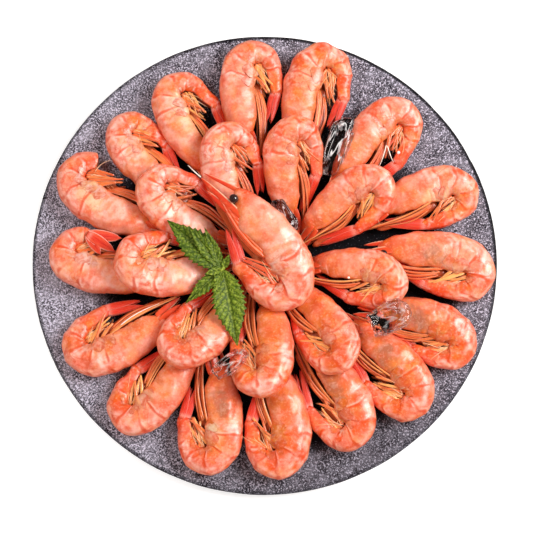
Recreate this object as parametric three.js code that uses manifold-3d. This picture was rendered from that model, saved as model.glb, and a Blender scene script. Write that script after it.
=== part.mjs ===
// A round slate plate of cooked, whole northern shrimp. Sixteen lie on their sides in an outer
// ring, nine lean on their heads in an inner ring, and one lies across the middle, with a sprig
// of mint and four melting pieces of ice. Millimetres, +Z up, the plate's underside at Z = 0.
import * as THREE from 'three';
import { mergeVertices } from 'three/addons/utils/BufferGeometryUtils.js';
import Module from 'manifold-3d';

const wasm = await Module();
wasm.setup();

// Plate
const plateDiameter = 200;
const plateThickness = 7;
const plateTopBevel = 1.3;
const plateFootBevel = 2.5;
const plateFootRise = 1.75; // height of the foot's slope
const plateLean = 0.4; // how far the side leans outwards above the foot
const plateFacets = 66;
const plateChip = 0.6; // how far the hewn edge wanders inwards
const plateWaves = [
  { waves: 7, phase: 0.5, share: 0.3 },
  { waves: 23, phase: 0, share: 0.4 },
  { waves: 31, phase: 2, share: 0.3 },
];

// What touches keeps this much air
const gap = 0.3;
// How far a piece that rests on others sinks between them. The lower ones give way by as much
const press = 1.0;
const mapStep = 0.5; // pitch of the height map that a piece is lowered on

// Shrimp of size 1, seen from its left side: distances are along the middle of the body
const rostrumLength = 9;
const carapaceLength = 23.5;
const abdomen = [
  { length: 6, turn: 8 },
  { length: 7.5, turn: 24 },
  { length: 8, turn: 60 },
  { length: 6.5, turn: 50 },
  { length: 6, turn: 30 },
  { length: 12.5, turn: 14 },
  { length: 2, turn: 18 }, // hinge of the tail fan
];
const fanLength = 19; // with its hinge
const carapaceTurn = 4;
const turnBlend = 2; // each bend is eased over this length on either side
const pathStep = 0.25;
const bodySides = 8;
const tailStart = 57.5; // from here a shrimp's own tail factor stretches its sixth segment and fan
const bendMiddle = { x: 8.5, y: -8 }; // centre of the curled abdomen, where a shrimp is placed

// Height of the back and depth of the belly from the middle line, and half the width
const bodyShape = [
  { at: -4, back: 2.2, belly: 0.8, side: 1.2 },
  { at: 0, back: 3.4, belly: 3.6, side: 3.0 },
  { at: 9, back: 6.0, belly: 7.0, side: 5.6 },
  { at: 16, back: 7.2, belly: 8.0, side: 6.2 },
  { at: 23.5, back: 7.5, belly: 8.2, side: 6.2 },
  { at: 29.5, back: 7.3, belly: 9.4, side: 6.1 },
  { at: 35, back: 7.2, belly: 9.4, side: 6.0 },
  { at: 42, back: 7.0, belly: 6.9, side: 5.8 },
  { at: 45, back: 6.8, belly: 5.9, side: 5.7 },
  { at: 51.5, back: 5.6, belly: 4.2, side: 4.9 },
  { at: 57.5, back: 4.2, belly: 3.3, side: 4.0 },
  { at: 70, back: 2.9, belly: 2.7, side: 2.9 },
  { at: 76, back: 2.6, belly: 2.8, side: 3.0 },
  { at: 84, back: 1.8, belly: 1.8, side: 2.2 },
];
const bendRings = [48.25]; // a further cross-section where the body bends
const brokenTailEnd = 57.5; // on the one shrimp that has lost its tail
const bodyEnd = 70; // rear of the sixth segment
const tailTip = bodyEnd + fanLength; // the body ends in a point here and at the rostrum's tip

// Blades of the one fan that is spread flat: half their width at shares of their length
const fanBlade = {
  from: bodyEnd - 1,
  length: 16.5,
  spreads: [-34, 2, 38],
  thick: 1.8,
  widths: [{ t: 0.5, half: 2.9 }, { t: 0.86, half: 2.3 }],
};
const eyeRadius = 1.9;
const eyePlace = { x: -24.5, y: 0.6, z: 3.0 };

// Feelers, legs and swimmerets: root, knee and tip, beside the middle plane, and root thickness
const limbs = [
  { root: [-9, -5.5], knee: [-20, -9], tip: [-32, -9.5], side: 1.6, thick: 1.3 },
  { root: [-7, -6], knee: [-13, -12.5], tip: [-22, -14.5], side: -1.2, thick: 1.1 },
  { root: [-1, -5.5], knee: [-4, -12], tip: [-12, -15], side: 1.8, thick: 1.2 },
  { root: [8, -7], knee: [2, -11.5], tip: [-5, -13], side: 0, thick: 1.9 },
];

// Where each shrimp lies. The bearing and reach place the middle of its bend, heading is the way
// from its head to its bend, both anticlockwise from +X, and pitch lifts the bend, roll the back
const outerRing = [
  { bearing: 94.5, reach: 83.5, heading: 100, size: 0.95, curl: 0.99, tail: 0.9, roll: 5 },
  { bearing: 74, reach: 85, heading: 86, size: 0.98, curl: 0.96, tail: 0.85, roll: 4 },
  { bearing: 47, reach: 80, heading: 60, size: 0.96, curl: 0.97, tail: 1.1, roll: 6 },
  { bearing: 20, reach: 84, heading: 28, size: 0.94, curl: 1.02, tail: 1.12, roll: 5 },
  { bearing: -3, reach: 85, heading: 0, size: 1.03, curl: 1.05, tail: 1.05, roll: 3 },
  { bearing: -24, reach: 85, heading: -10, size: 0.97, curl: 1.05, tail: 0.95, roll: 5 },
  { bearing: -43, reach: 81.5, heading: -38, size: 0.98, curl: 1.0, tail: 1.05, roll: 4 },
  { bearing: -63, reach: 77, heading: -52, size: 0.96, curl: 0.97, tail: 1.05, roll: 6 },
  { bearing: -85.5, reach: 80.5, heading: -72, size: 1.01, curl: 1.03, tail: 0.9, roll: 5 },
  { bearing: -106, reach: 82, heading: -81, size: 0.97, curl: 0.99, tail: 0.88, roll: 4 },
  { bearing: -130, reach: 83, heading: -120, size: 0.94, curl: 1.01, tail: 1.0, roll: 6 },
  { bearing: -152, reach: 81.5, heading: -145, size: 0.98, curl: 0.98, tail: 0.95, roll: 4 },
  { bearing: 180, reach: 79.5, heading: 177, size: 0.95, curl: 1.0, tail: 0.5, roll: 5, openFan: true },
  { bearing: 157.5, reach: 82.5, heading: 160, size: 1.01, curl: 0.93, tail: 1.0, roll: 3, tailOff: true },
  { bearing: 138, reach: 78, heading: 140, size: 0.88, curl: 1.01, tail: 1.08, roll: 6 },
  { bearing: 118.5, reach: 78.5, heading: 124, size: 0.9, curl: 0.92, tail: 1.0, roll: 5 },
];
const innerRing = [
  { bearing: 110, reach: 48, heading: 114, size: 0.9, curl: 0.96, tail: 0.87, pitch: 16, roll: 3 },
  { bearing: 76, reach: 49.5, heading: 101, size: 0.92, curl: 1.02, tail: 1.1, pitch: 16, roll: 4 },
  { bearing: 33, reach: 51.5, heading: 46, size: 0.9, curl: 1.0, tail: 1.2, pitch: 15, roll: 3 },
  { bearing: -12, reach: 50, heading: -2, size: 0.87, curl: 1.02, tail: 1.12, pitch: 15, roll: 4 },
  { bearing: -53, reach: 48, heading: -44, size: 0.92, curl: 1.04, tail: 1.05, pitch: 17, roll: 4 },
  { bearing: -91, reach: 48, heading: -80, size: 0.95, curl: 1.0, tail: 1.0, pitch: 17, roll: 3 },
  { bearing: -131, reach: 49, heading: -124, size: 0.92, curl: 1.0, tail: 1.05, pitch: 16, roll: 4 },
  { bearing: -175, reach: 50.5, heading: -168, size: 0.98, curl: 0.98, tail: 0.9, pitch: 15, roll: 3 },
  { bearing: 149, reach: 50, heading: 156, size: 0.93, curl: 0.95, tail: 0.9, pitch: 16, roll: 4 },
];
const middleShrimp = [
  { bearing: -50, reach: 10.8, heading: -47, size: 1.11, curl: 1.0, tail: 0.92, pitch: -6, roll: 3 },
];

// Ice: where it lies, half extents along its own axes, the way its long axis points, and how far
// it has sunk between the shrimp as it melted
const iceShape = { blockiness: 0.62, dents: 0.09, ripples: 4.5 };
const icePieces = [
  { x: 31.3, y: 48.5, half: [14, 6, 5.5], heading: 72, tilt: 12, sink: 7 },
  { x: 8.7, y: 17, half: [8.5, 3.6, 3.5], heading: -58, tilt: 8, sink: 9 },
  { x: 52.5, y: -27.5, half: [10, 7, 5], heading: 25, tilt: 5, sink: 3 },
  { x: -14.7, y: -47, half: [9, 4.2, 4], heading: 38, tilt: 6, sink: 2.5 },
];

// Mint: leaves from one joint, with the length and width of each, where it points and how high
const mintJoint = { x: -17.8, y: -6.8 };
const leafThickness = 0.7;
const leafSteps = 8;
const leafFold = 0.22; // how steeply the halves of a leaf rise from its midrib
const leafWave = { height: 0.25, turns: 1.4 };
const leafBelly = 0.8; // below 1 a leaf is widest nearer its foot
const leaves = [
  { heading: -79, length: 33, width: 15, rise: 2, droop: 5, teeth: 0.14 },
  { heading: 138, length: 32, width: 13, rise: 3, droop: 4, teeth: 0.14 },
  { heading: 112, length: 19, width: 6.5, rise: 5, droop: 1, teeth: 0.1 },
  { heading: -140, length: 24, width: 8.5, rise: 1, droop: 4, teeth: 0.12 },
  { heading: -113, length: 9, width: 4, rise: 2, droop: 1, teeth: 0.05 },
];

const degrees = THREE.MathUtils.degToRad;
const finish = (color, roughness) => new THREE.MeshStandardMaterial({ color, roughness, metalness: 0 });
const materials = {
  slate: finish(0x4b4850, 0.85),
  shell: finish(0xf0835e, 0.38),
  ice: finish(0xdfe6ea, 0.12),
  mint: finish(0x5c8f35, 0.55),
};

// Closed geometry from a point through rings of equally many points to another point
function loft(start, rings, tip) {
  const sides = rings[0].length;
  const points = [...rings.flat(), start, tip];
  const [first, last] = [points.length - 2, points.length - 1];
  const index = [];
  for (let i = 0; i < sides; i += 1) {
    const next = (i + 1) % sides;
    index.push(first, next, i);
    for (let r = 0; r < rings.length - 1; r += 1) {
      const low = r * sides;
      const high = low + sides;
      index.push(low + i, low + next, high + next, low + i, high + next, high + i);
    }
    const end = (rings.length - 1) * sides;
    index.push(last, end + i, end + next);
  }
  const geometry = new THREE.BufferGeometry().setFromPoints(points);
  geometry.setIndex(index);
  return geometry;
}

// A solid for joining and cutting, from any closed geometry
function solidOf(geometry) {
  const bare = geometry.clone();
  bare.deleteAttribute('normal');
  bare.deleteAttribute('uv');
  const merged = mergeVertices(bare);
  return new wasm.Manifold(new wasm.Mesh({
    numProp: 3,
    vertProperties: new Float32Array(merged.attributes.position.array),
    triVerts: new Uint32Array(merged.index.array),
  }));
}

function geometryOf(solid) {
  const mesh = solid.getMesh();
  const geometry = new THREE.BufferGeometry();
  geometry.setAttribute('position', new THREE.BufferAttribute(mesh.vertProperties, 3));
  geometry.setIndex(new THREE.BufferAttribute(mesh.triVerts, 1));
  return geometry;
}

// The solid without the scraps that cutting may leave
function largestOf(solid) {
  return solid.decompose().reduce((best, piece) => (piece.volume() > best.volume() ? piece : best));
}

// Degrees turned by the middle line up to a distance, before easing
function rawTurn(distance, curl) {
  if (distance <= carapaceLength) {
    return carapaceTurn * THREE.MathUtils.clamp(distance / carapaceLength, 0, 1);
  }
  let turned = carapaceTurn;
  let start = carapaceLength;
  for (const { length, turn } of abdomen) {
    turned += curl * turn * THREE.MathUtils.clamp((distance - start) / length, 0, 1);
    start += length;
  }
  return turned;
}

// The middle line of a body: where it is and which way it points, for any distance along it
function bodyPath({ curl, tail }) {
  const count = Math.ceil((tailTip + rostrumLength + 1) / pathStep) + 1;
  const stations = [];
  let [x, y] = [0, 0];
  for (let i = 0; i < count; i += 1) {
    const at = i * pathStep - rostrumLength;
    const eased = [-1, -0.5, 0, 0.5, 1].map((k) => rawTurn(at + k * turnBlend, curl));
    const heading = -degrees(eased.reduce((a, b) => a + b) / eased.length);
    stations.push({ x, y, heading });
    const step = at < tailStart ? pathStep : pathStep * tail;
    x += Math.cos(heading) * step;
    y += Math.sin(heading) * step;
  }
  const stationAt = (at) => stations[Math.round((at + rostrumLength) / pathStep)];
  const origin = stationAt(carapaceLength);
  return (at) => {
    const here = stationAt(at);
    return { x: here.x - origin.x, y: here.y - origin.y, heading: here.heading };
  };
}

// Back, belly and side of the body at a distance, straight between the rows of its shape
function shapeAt(at) {
  const next = bodyShape.findIndex((row, i) => i > 0 && row.at >= at);
  const [a, b] = [bodyShape[next - 1], bodyShape[next]];
  const t = (at - a.at) / (b.at - a.at);
  const mix = (key) => THREE.MathUtils.lerp(a[key], b[key], t);
  return { back: mix('back'), belly: mix('belly'), side: mix('side') };
}

// Body from rostrum to tail fan, as a loft, grown all round by an allowance when it is to cut
function bodySolid(shrimp, allowance = 0) {
  const path = bodyPath(shrimp);
  const lastRing = shrimp.tailOff ? brokenTailEnd : bodyShape.at(-1).at;
  const stops = [...bodyShape.map((row) => row.at), ...bendRings].filter((at) => at <= lastRing);
  stops.sort((a, b) => a - b);
  const rings = stops.map((at) => {
    const { x, y, heading } = path(at);
    const { back, belly, side } = shapeAt(at);
    return Array.from({ length: bodySides }, (_, k) => {
      const angle = (k / bodySides) * Math.PI * 2;
      const up = Math.cos(angle) * ((Math.cos(angle) > 0 ? back : belly) + allowance);
      const out = Math.sin(angle) * (side + allowance);
      return new THREE.Vector3(x - Math.sin(heading) * up, y + Math.cos(heading) * up, out);
    });
  });
  const pointAt = (at) => new THREE.Vector3(path(at).x, path(at).y, 0);
  const end = shrimp.tailOff ? pointAt(lastRing + 1) : pointAt(tailTip + allowance);
  return solidOf(loft(pointAt(-rostrumLength), rings, end));
}

// A tapering three-sided limb through root, knee and tip
function limbSolid({ root, knee, tip, side, thick }, allowance = 0) {
  const stops = [[root, thick], [knee, thick * 0.8]];
  const along = new THREE.Vector2(tip[0] - root[0], tip[1] - root[1]).normalize();
  const rings = stops.map(([[x, y], bare]) => Array.from({ length: 3 }, (_, k) => {
    const radius = bare + allowance * 2;
    const angle = (k / 3) * Math.PI * 2;
    const across = Math.cos(angle) * radius;
    return new THREE.Vector3(x - along.y * across, y + along.x * across, side + Math.sin(angle) * radius);
  }));
  return solidOf(loft(new THREE.Vector3(...root, side), rings, new THREE.Vector3(...tip, side)));
}

// Blades of a tail fan spread flat, from the end of the sixth segment
function openFanSolid(shrimp) {
  const { x, y, heading } = bodyPath(shrimp)(fanBlade.from);
  const blades = fanBlade.spreads.map((spread) => {
    const way = heading + degrees(spread);
    const along = new THREE.Vector3(Math.cos(way), Math.sin(way), 0);
    const across = new THREE.Vector3(-Math.sin(way), Math.cos(way), 0);
    const root = new THREE.Vector3(x, y, 0);
    const at = (t) => root.clone().addScaledVector(along, fanBlade.length * t);
    const rings = fanBlade.widths.map(({ t, half }) => [
      at(t).addScaledVector(across, half),
      at(t).setZ(fanBlade.thick / 2),
      at(t).addScaledVector(across, -half),
      at(t).setZ(-fanBlade.thick / 2),
    ]);
    return solidOf(loft(root, rings.map((ring) => ring.reverse()), at(1)));
  });
  return blades.reduce((all, blade) => all.add(blade));
}

// A whole shrimp in its own frame: body, both eyes, feelers, legs and swimmerets in one piece
function shrimpSolid(shrimp, allowance = 0) {
  const eyes = [-1, 1].map((hand) => {
    const eye = new THREE.OctahedronGeometry(eyeRadius + allowance);
    return solidOf(eye.translate(eyePlace.x, eyePlace.y, hand * eyePlace.z));
  });
  const arms = limbs.map((limb) => limbSolid(limb, allowance));
  const fans = shrimp.openFan ? [openFanSolid(shrimp)] : [];
  return [...eyes, ...arms, ...fans].reduce((all, piece) => all.add(piece), bodySolid(shrimp, allowance));
}

// Turn, size and place of a shrimp, with the middle of its bend at the given height
function placing({ bearing, reach, heading, size, pitch = 0, roll = 0 }, height) {
  const turn = new THREE.Euler(degrees(roll), -degrees(pitch), degrees(heading), 'ZYX');
  const matrix = new THREE.Matrix4().compose(
    new THREE.Vector3(reach * Math.cos(degrees(bearing)), reach * Math.sin(degrees(bearing)), height),
    new THREE.Quaternion().setFromEuler(turn),
    new THREE.Vector3(size, size, size),
  );
  return matrix.multiply(new THREE.Matrix4().makeTranslation(-bendMiddle.x, -bendMiddle.y, 0));
}

const moved = (solid, matrix) => solid.transform(matrix.elements);
const lifted = (solid, height) => solid.translate([0, 0, height]);

// Heights of a solid over a grid on the plate, its highest (or lowest) at each grid point
function heightMap(solid, keepHigher) {
  const { vertProperties, triVerts } = solid.getMesh();
  const corner = (i) => vertProperties.subarray(triVerts[i] * 3, triVerts[i] * 3 + 3);
  const heights = new Map();
  for (let t = 0; t < triVerts.length; t += 3) {
    const [a, b, c] = [corner(t), corner(t + 1), corner(t + 2)];
    const area = (b[0] - a[0]) * (c[1] - a[1]) - (c[0] - a[0]) * (b[1] - a[1]);
    if (Math.abs(area) < 1e-6) {
      continue;
    }
    const range = [0, 1].map((k) => [
      Math.ceil(Math.min(a[k], b[k], c[k]) / mapStep),
      Math.floor(Math.max(a[k], b[k], c[k]) / mapStep),
    ]);
    for (let i = range[0][0]; i <= range[0][1]; i += 1) {
      for (let j = range[1][0]; j <= range[1][1]; j += 1) {
        const [px, py] = [i * mapStep - a[0], j * mapStep - a[1]];
        const v = (px * (c[1] - a[1]) - (c[0] - a[0]) * py) / area;
        const w = ((b[0] - a[0]) * py - px * (b[1] - a[1])) / area;
        if (v < 0 || w < 0 || v + w > 1) {
          continue;
        }
        const z = a[2] + v * (b[2] - a[2]) + w * (c[2] - a[2]);
        const key = `${i},${j}`;
        const known = heights.get(key);
        if (known === undefined || (keepHigher ? z > known : z < known)) {
          heights.set(key, z);
        }
      }
    }
  }
  return heights;
}

// What lies on the plate so far, as the highest point over each grid point
const pile = new Map();

function addToPile(solid) {
  for (const [key, z] of heightMap(solid, true)) {
    pile.set(key, Math.max(z, pile.get(key) ?? plateThickness));
  }
}

// How far to lift a solid modelled at height 0 so that it rests on the plate and the pile
function restingHeight(solid, sink) {
  let lift = plateThickness + gap - solid.boundingBox().min[2];
  for (const [key, z] of heightMap(solid, false)) {
    if (pile.has(key)) {
      lift = Math.max(lift, pile.get(key) + gap - sink - z);
    }
  }
  return lift;
}

// Plate: a turned disc whose hewn edge wanders
function plateGeometry() {
  const radius = plateDiameter / 2;
  const profile = [
    [0, 0],
    [radius - plateFootBevel, 0],
    [radius - plateLean, plateFootRise],
    [radius, plateThickness - plateTopBevel],
    [radius - plateTopBevel, plateThickness],
    [0, plateThickness],
  ].map(([x, y]) => new THREE.Vector2(x, y));
  const disc = new THREE.LatheGeometry(profile, plateFacets);
  disc.rotateX(Math.PI / 2);
  const position = disc.attributes.position;
  for (let i = 0; i < position.count; i += 1) {
    const [x, y] = [position.getX(i), position.getY(i)];
    if (Math.hypot(x, y) > radius / 2) {
      const angle = Math.atan2(y, x);
      const wave = ({ waves, phase, share }) => share * Math.sin(waves * angle + phase);
      const wander = plateWaves.map(wave).reduce((a, b) => a + b);
      const scale = 1 - (plateChip * (1 - wander)) / 2 / radius;
      position.setXY(i, x * scale, y * scale);
    }
  }
  return geometryOf(solidOf(disc));
}

// Ice: a rounded block with a few melted dents, placed differently on each piece by its seed
function iceSolid({ half, heading, tilt }, seed) {
  const ball = new THREE.IcosahedronGeometry(1, 1);
  const position = ball.attributes.position;
  const point = new THREE.Vector3();
  for (let i = 0; i < position.count; i += 1) {
    point.fromBufferAttribute(position, i);
    const ripple = Math.sin(iceShape.ripples * point.x + seed) * Math.cos(iceShape.ripples * point.y + seed);
    const dent = 1 - iceShape.dents * (1 + ripple);
    const squared = point.toArray().map((c) => Math.sign(c) * Math.abs(c) ** iceShape.blockiness);
    position.setXYZ(i, ...squared.map((c, k) => c * half[k] * dent));
  }
  ball.rotateY(-degrees(tilt));
  ball.rotateZ(degrees(heading));
  return solidOf(ball);
}

// Mint leaf: a folded, drooping blade of even thickness with toothed edges, both faces alike
function leafSolid({ heading, length, width, rise, droop, teeth }) {
  const fold = (t, side) => {
    const tooth = 1 + (Math.round(t * leafSteps) % 2 === 0 ? -teeth : teeth);
    const half = (width / 2) * Math.sin(Math.PI * t ** leafBelly) ** leafBelly * tooth;
    const wave = leafWave.height * Math.sin(t * leafWave.turns * Math.PI * 2) * side;
    const height = rise * t - droop * t * t + Math.abs(side) * half * leafFold + wave;
    return new THREE.Vector3(length * t, half * side, height);
  };
  const rings = Array.from({ length: leafSteps - 1 }, (_, i) => {
    const row = [-1, 0, 1].map((side) => fold((i + 1) / leafSteps, side));
    const under = row.map((p) => new THREE.Vector3(p.x, p.y, p.z - leafThickness));
    return [...under, ...row.reverse()];
  });
  const leaf = loft(fold(0, 0), rings, fold(1, 0));
  leaf.rotateZ(degrees(heading));
  return solidOf(leaf);
}

const group = new THREE.Group();

function addMesh(name, geometry, material) {
  const mesh = new THREE.Mesh(geometry, material);
  mesh.name = name;
  group.add(mesh);
  return mesh;
}

addMesh('plate', plateGeometry(), materials.slate);

// Each shrimp is lowered onto what lies there, layer by layer
const laid = [];
for (const [layer, rows] of [['outer', outerRing], ['inner', innerRing], ['middle', middleShrimp]]) {
  const settled = rows.map((row, i) => {
    const whole = shrimpSolid(row);
    const level = placing(row, 0);
    const height = restingHeight(moved(whole, level), layer === 'outer' ? 0 : press);
    const matrix = placing(row, height);
    return {
      name: `shrimp_${layer}_${String(i + 1).padStart(2, '0')}`,
      layer,
      matrix,
      solid: moved(whole, matrix),
      cutter: moved(bodySolid(row, gap), matrix),
      fullCutter: moved(shrimpSolid(row, gap), matrix),
    };
  });
  settled.forEach((shrimp) => addToPile(shrimp.solid));
  laid.push(...settled);
}

// Where two press on each other the lower gives way, and in a ring the one before the next
const rank = { outer: 0, inner: 1, middle: 2 };
for (const shrimp of laid) {
  const mates = laid.filter((other) => other.layer === shrimp.layer);
  const next = mates[(mates.indexOf(shrimp) + 1) % mates.length];
  let cut = shrimp.solid;
  for (const other of laid) {
    const above = rank[other.layer] > rank[shrimp.layer];
    if (other !== shrimp && (above || other === next)) {
      cut = cut.subtract(other.cutter);
    }
  }
  shrimp.cut = largestOf(cut);
}

for (const { name, matrix, cut } of laid) {
  const own = moved(cut, matrix.clone().invert());
  const mesh = addMesh(name, geometryOf(own), materials.shell);
  mesh.applyMatrix4(matrix);
}

icePieces.forEach((piece, i) => {
  const block = iceSolid(piece, i + 1).translate([piece.x, piece.y, 0]);
  const solid = lifted(block, restingHeight(block, piece.sink));
  const trimmed = laid.reduce((rest, { fullCutter }) => rest.subtract(fullCutter), solid);
  addMesh(`ice_${i + 1}`, geometryOf(largestOf(trimmed)), materials.ice);
});

const sprig = leaves.reduce((all, leaf) => {
  const solid = leafSolid(leaf).translate([mintJoint.x, mintJoint.y, 0]);
  return all ? all.add(solid) : solid;
}, null);
addMesh('mint', geometryOf(lifted(sprig, restingHeight(sprig, -0.5))), materials.mint);

export default group;
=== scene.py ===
import math

import bpy
import numpy as np
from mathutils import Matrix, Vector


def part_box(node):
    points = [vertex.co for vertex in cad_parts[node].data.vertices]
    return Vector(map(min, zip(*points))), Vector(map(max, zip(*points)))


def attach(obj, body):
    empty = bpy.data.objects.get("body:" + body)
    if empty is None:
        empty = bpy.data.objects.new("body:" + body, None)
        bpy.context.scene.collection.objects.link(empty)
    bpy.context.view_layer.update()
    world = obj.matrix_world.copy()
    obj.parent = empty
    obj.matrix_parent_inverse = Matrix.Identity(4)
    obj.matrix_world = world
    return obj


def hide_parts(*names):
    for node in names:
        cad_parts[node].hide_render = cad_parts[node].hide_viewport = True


# A slate plate of cooked northern shrimp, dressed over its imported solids.
# Meshes are in metres, the tables in millimetres. A shrimp's own frame has x towards its bend,
# y towards its back and z to its left side, with the origin at the rear of the carapace.

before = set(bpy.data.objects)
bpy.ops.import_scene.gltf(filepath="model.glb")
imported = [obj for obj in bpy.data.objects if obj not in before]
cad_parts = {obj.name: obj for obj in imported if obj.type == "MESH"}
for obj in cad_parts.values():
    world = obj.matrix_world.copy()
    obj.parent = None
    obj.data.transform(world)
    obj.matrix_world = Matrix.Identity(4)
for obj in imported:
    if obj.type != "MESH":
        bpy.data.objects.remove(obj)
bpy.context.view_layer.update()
mm = 0.001
plateTop = 7.0


def paint(code):
    # A colour as it is mixed on screen, made linear
    value = np.array([int(code[i:i + 2], 16) for i in (0, 2, 4)]) / 255
    return np.where(value <= 0.04045, value / 12.92, ((value + 0.055) / 1.055) ** 2.4)


def blend(first, second, share):
    # share of the second colour over the first, both per point
    return first + (second - first) * np.clip(share, 0, 1)[..., None]


def layered(colours, first, layers, over):
    # Colours laid over the first one, each with its share, on a grid as large as over
    tint = np.broadcast_to(colours[first], over.shape[:2] + (3,))
    for name, share in layers:
        tint = blend(tint, colours[name], share)
    return tint


def hump(value, middle, width):
    # a bell, 1 in the middle
    return np.exp(-((value - middle) / width) ** 2)


def ramp(value, low, high):
    # 0 below low, 1 above high, eased between
    t = np.clip((value - low) / (high - low), 0, 1)
    return t * t * (3 - 2 * t)


def unevenness(u, v, pitch, seed, waves=10):
    # Sum of sine waves of random direction and phase, about pitch apart, with a spread near 1
    rng = np.random.default_rng(seed)
    total = np.zeros(np.broadcast(u, v).shape)
    for way, phase, count in zip(rng.uniform(0, math.tau, waves), rng.uniform(0, math.tau, waves),
                                 rng.uniform(0.6, 1.5, waves)):
        total += np.sin((u * math.cos(way) + v * math.sin(way)) * math.tau * count / pitch + phase)
    return total * math.sqrt(2 / waves)


def turned(first, second, angle):
    # Two coordinates, turned in their own plane
    return (first * math.cos(angle) - second * math.sin(angle),
            first * math.sin(angle) + second * math.cos(angle))


def pointing(way, out=0.0):
    # A direction at an angle in the plane of x and y, leaning out of it
    return np.array([math.cos(way), math.sin(way), out])


# Meshes

def gridOf(rows, turns):
    # Values along and angles around, each as a grid; turns is how many angles a circle is cut into
    return np.meshgrid(rows, np.linspace(0, math.tau, turns, endpoint=False), indexing="ij")


def acrossUv(t, cut):
    # UV of a blade: along it, and from one edge at 0 to the other at 1
    return np.stack([t, cut * 0.5 + 0.5], -1)


def closedGrid(points):
    # Rows of rings, each joined to the next, with the first and last ring closed by a middle point
    rows, columns = points.shape[:2]
    ring = np.arange(columns)
    after = np.roll(ring, -1)
    base = (np.arange(rows - 1) * columns)[:, None]
    quads = np.stack([base + ring, base + after, base + columns + after, base + columns + ring], -1)
    flat = points.reshape(-1, 3)
    ends = np.stack([points[0].mean(0), points[-1].mean(0)])
    first = np.stack([np.full(columns, rows * columns), after, ring], -1)
    last = np.stack([np.full(columns, rows * columns + 1), ring + (rows - 1) * columns,
                     after + (rows - 1) * columns], -1)
    return np.concatenate([flat, ends]), quads.reshape(-1, 4), np.concatenate([first, last])


def withEnds(values):
    # Values on a closed grid, with those of its two middle points
    flat = values.reshape(-1, values.shape[-1])
    return np.concatenate([flat, values[0].mean(0)[None], values[-1].mean(0)[None]])


def joined(parts):
    # Several closed grids as one list of points, faces and values
    points, quads, tris, tints, uvs = [], [], [], [], []
    count = 0
    for grid, tint, uv in parts:
        p, q, t = closedGrid(grid)
        points.append(p)
        quads.append(q + count)
        tris.append(t + count)
        tints.append(withEnds(tint))
        uvs.append(withEnds(uv))
        count += len(p)
    return [np.concatenate(x) for x in (points, quads, tris, tints, uvs)]


def volumeOf(points, quads, tris):
    # Six times the volume inside the faces
    corners = np.concatenate([quads[:, [0, 1, 2]], quads[:, [0, 2, 3]], tris])
    a, b, c = (points[corners[:, k]] for k in range(3))
    return np.einsum("ij,ij->i", a, np.cross(b, c)).sum()


def makePiece(name, parts, material, node):
    # One mesh object of closed grids, with its tint and UV map, riding on the plate's body
    points, quads, tris, tints, uvs = joined(parts)
    if volumeOf(points, quads, tris) < 0:
        quads, tris = quads[:, ::-1], tris[:, ::-1]
    corners = np.concatenate([quads.ravel(), tris.ravel()]).astype(np.int32)
    starts = np.concatenate([np.arange(len(quads)) * 4, len(quads) * 4 + np.arange(len(tris)) * 3])
    mesh = bpy.data.meshes.new(name)
    mesh.vertices.add(len(points))
    mesh.vertices.foreach_set("co", (points * mm).astype(np.float32).ravel())
    mesh.loops.add(len(corners))
    mesh.loops.foreach_set("vertex_index", corners)
    mesh.polygons.add(len(starts))
    mesh.polygons.foreach_set("loop_start", starts.astype(np.int32))
    mesh.polygons.foreach_set("use_smooth", np.ones(len(starts), bool))
    mesh.update(calc_edges=True)
    uvLayer = mesh.uv_layers.new(name="alongAround")
    uvLayer.data.foreach_set("uv", uvs[corners].astype(np.float32).ravel())
    tint = mesh.attributes.new("tint", "FLOAT_COLOR", "POINT")
    rgba = np.concatenate([tints, np.ones((len(tints), 1))], 1)[:, :4]
    tint.data.foreach_set("color", rgba.astype(np.float32).ravel())
    mesh.validate()
    piece = bpy.data.objects.new(name, mesh)
    bpy.context.scene.collection.objects.link(piece)
    piece.data.materials.append(material)
    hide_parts(node)
    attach(piece, "root")
    return piece


# Materials

def newMaterial(name):
    # With its node tree, its shader and the place on the object, which most patterns read
    material = bpy.data.materials.new(name)
    material.use_nodes = True
    tree = material.node_tree
    place = tree.nodes.new("ShaderNodeTexCoord").outputs["Object"]
    return material, tree, tree.nodes["Principled BSDF"], place


def setSockets(node, **sockets):
    # Fixed values of sockets, named with underscores for spaces
    for key, value in sockets.items():
        node.inputs[key.replace("_", " ")].default_value = value


def addNode(tree, kind, source=None, **sockets):
    # A node with its fixed sockets; source goes into the first one
    node = tree.nodes.new(kind)
    setSockets(node, **sockets)
    if source is not None:
        tree.links.new(source, node.inputs[0])
    return node


def addNoise(tree, source, scale, detail=3, roughness=0.6):
    # A noise with about scale patches along a metre
    return addNode(tree, "ShaderNodeTexNoise", source, Scale=scale, Detail=detail,
                   Roughness=roughness).outputs["Fac"]


def addRange(tree, source, fromLow, fromHigh, toLow, toHigh):
    # The source from low to high as a straight rise or fall, held level beyond both
    return addNode(tree, "ShaderNodeMapRange", source, From_Min=fromLow, From_Max=fromHigh,
                   To_Min=toLow, To_Max=toHigh).outputs["Result"]


def addMix(tree, share, first, second, way="MIX"):
    # Colour mix; first and second are sockets or fixed colours
    node = tree.nodes.new("ShaderNodeMix")
    node.data_type = "RGBA"
    node.blend_type = way
    for key, value in ((0, share), (6, first), (7, second)):
        if isinstance(value, bpy.types.NodeSocket):
            tree.links.new(value, node.inputs[key])
        else:
            node.inputs[key].default_value = value if key == 0 else (*value, 1)
    return node.outputs[2]


def tinge(tree, colour, other, source, low, high, share):
    # The other colour over the first: none where the source is low, share where it is high
    return addMix(tree, addRange(tree, source, low, high, 0, share), colour, other)


def addMath(tree, operation, first, second):
    # Sum or product of two sockets
    node = tree.nodes.new("ShaderNodeMath")
    node.operation = operation
    tree.links.new(first, node.inputs[0])
    tree.links.new(second, node.inputs[1])
    return node.outputs[0]


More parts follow.
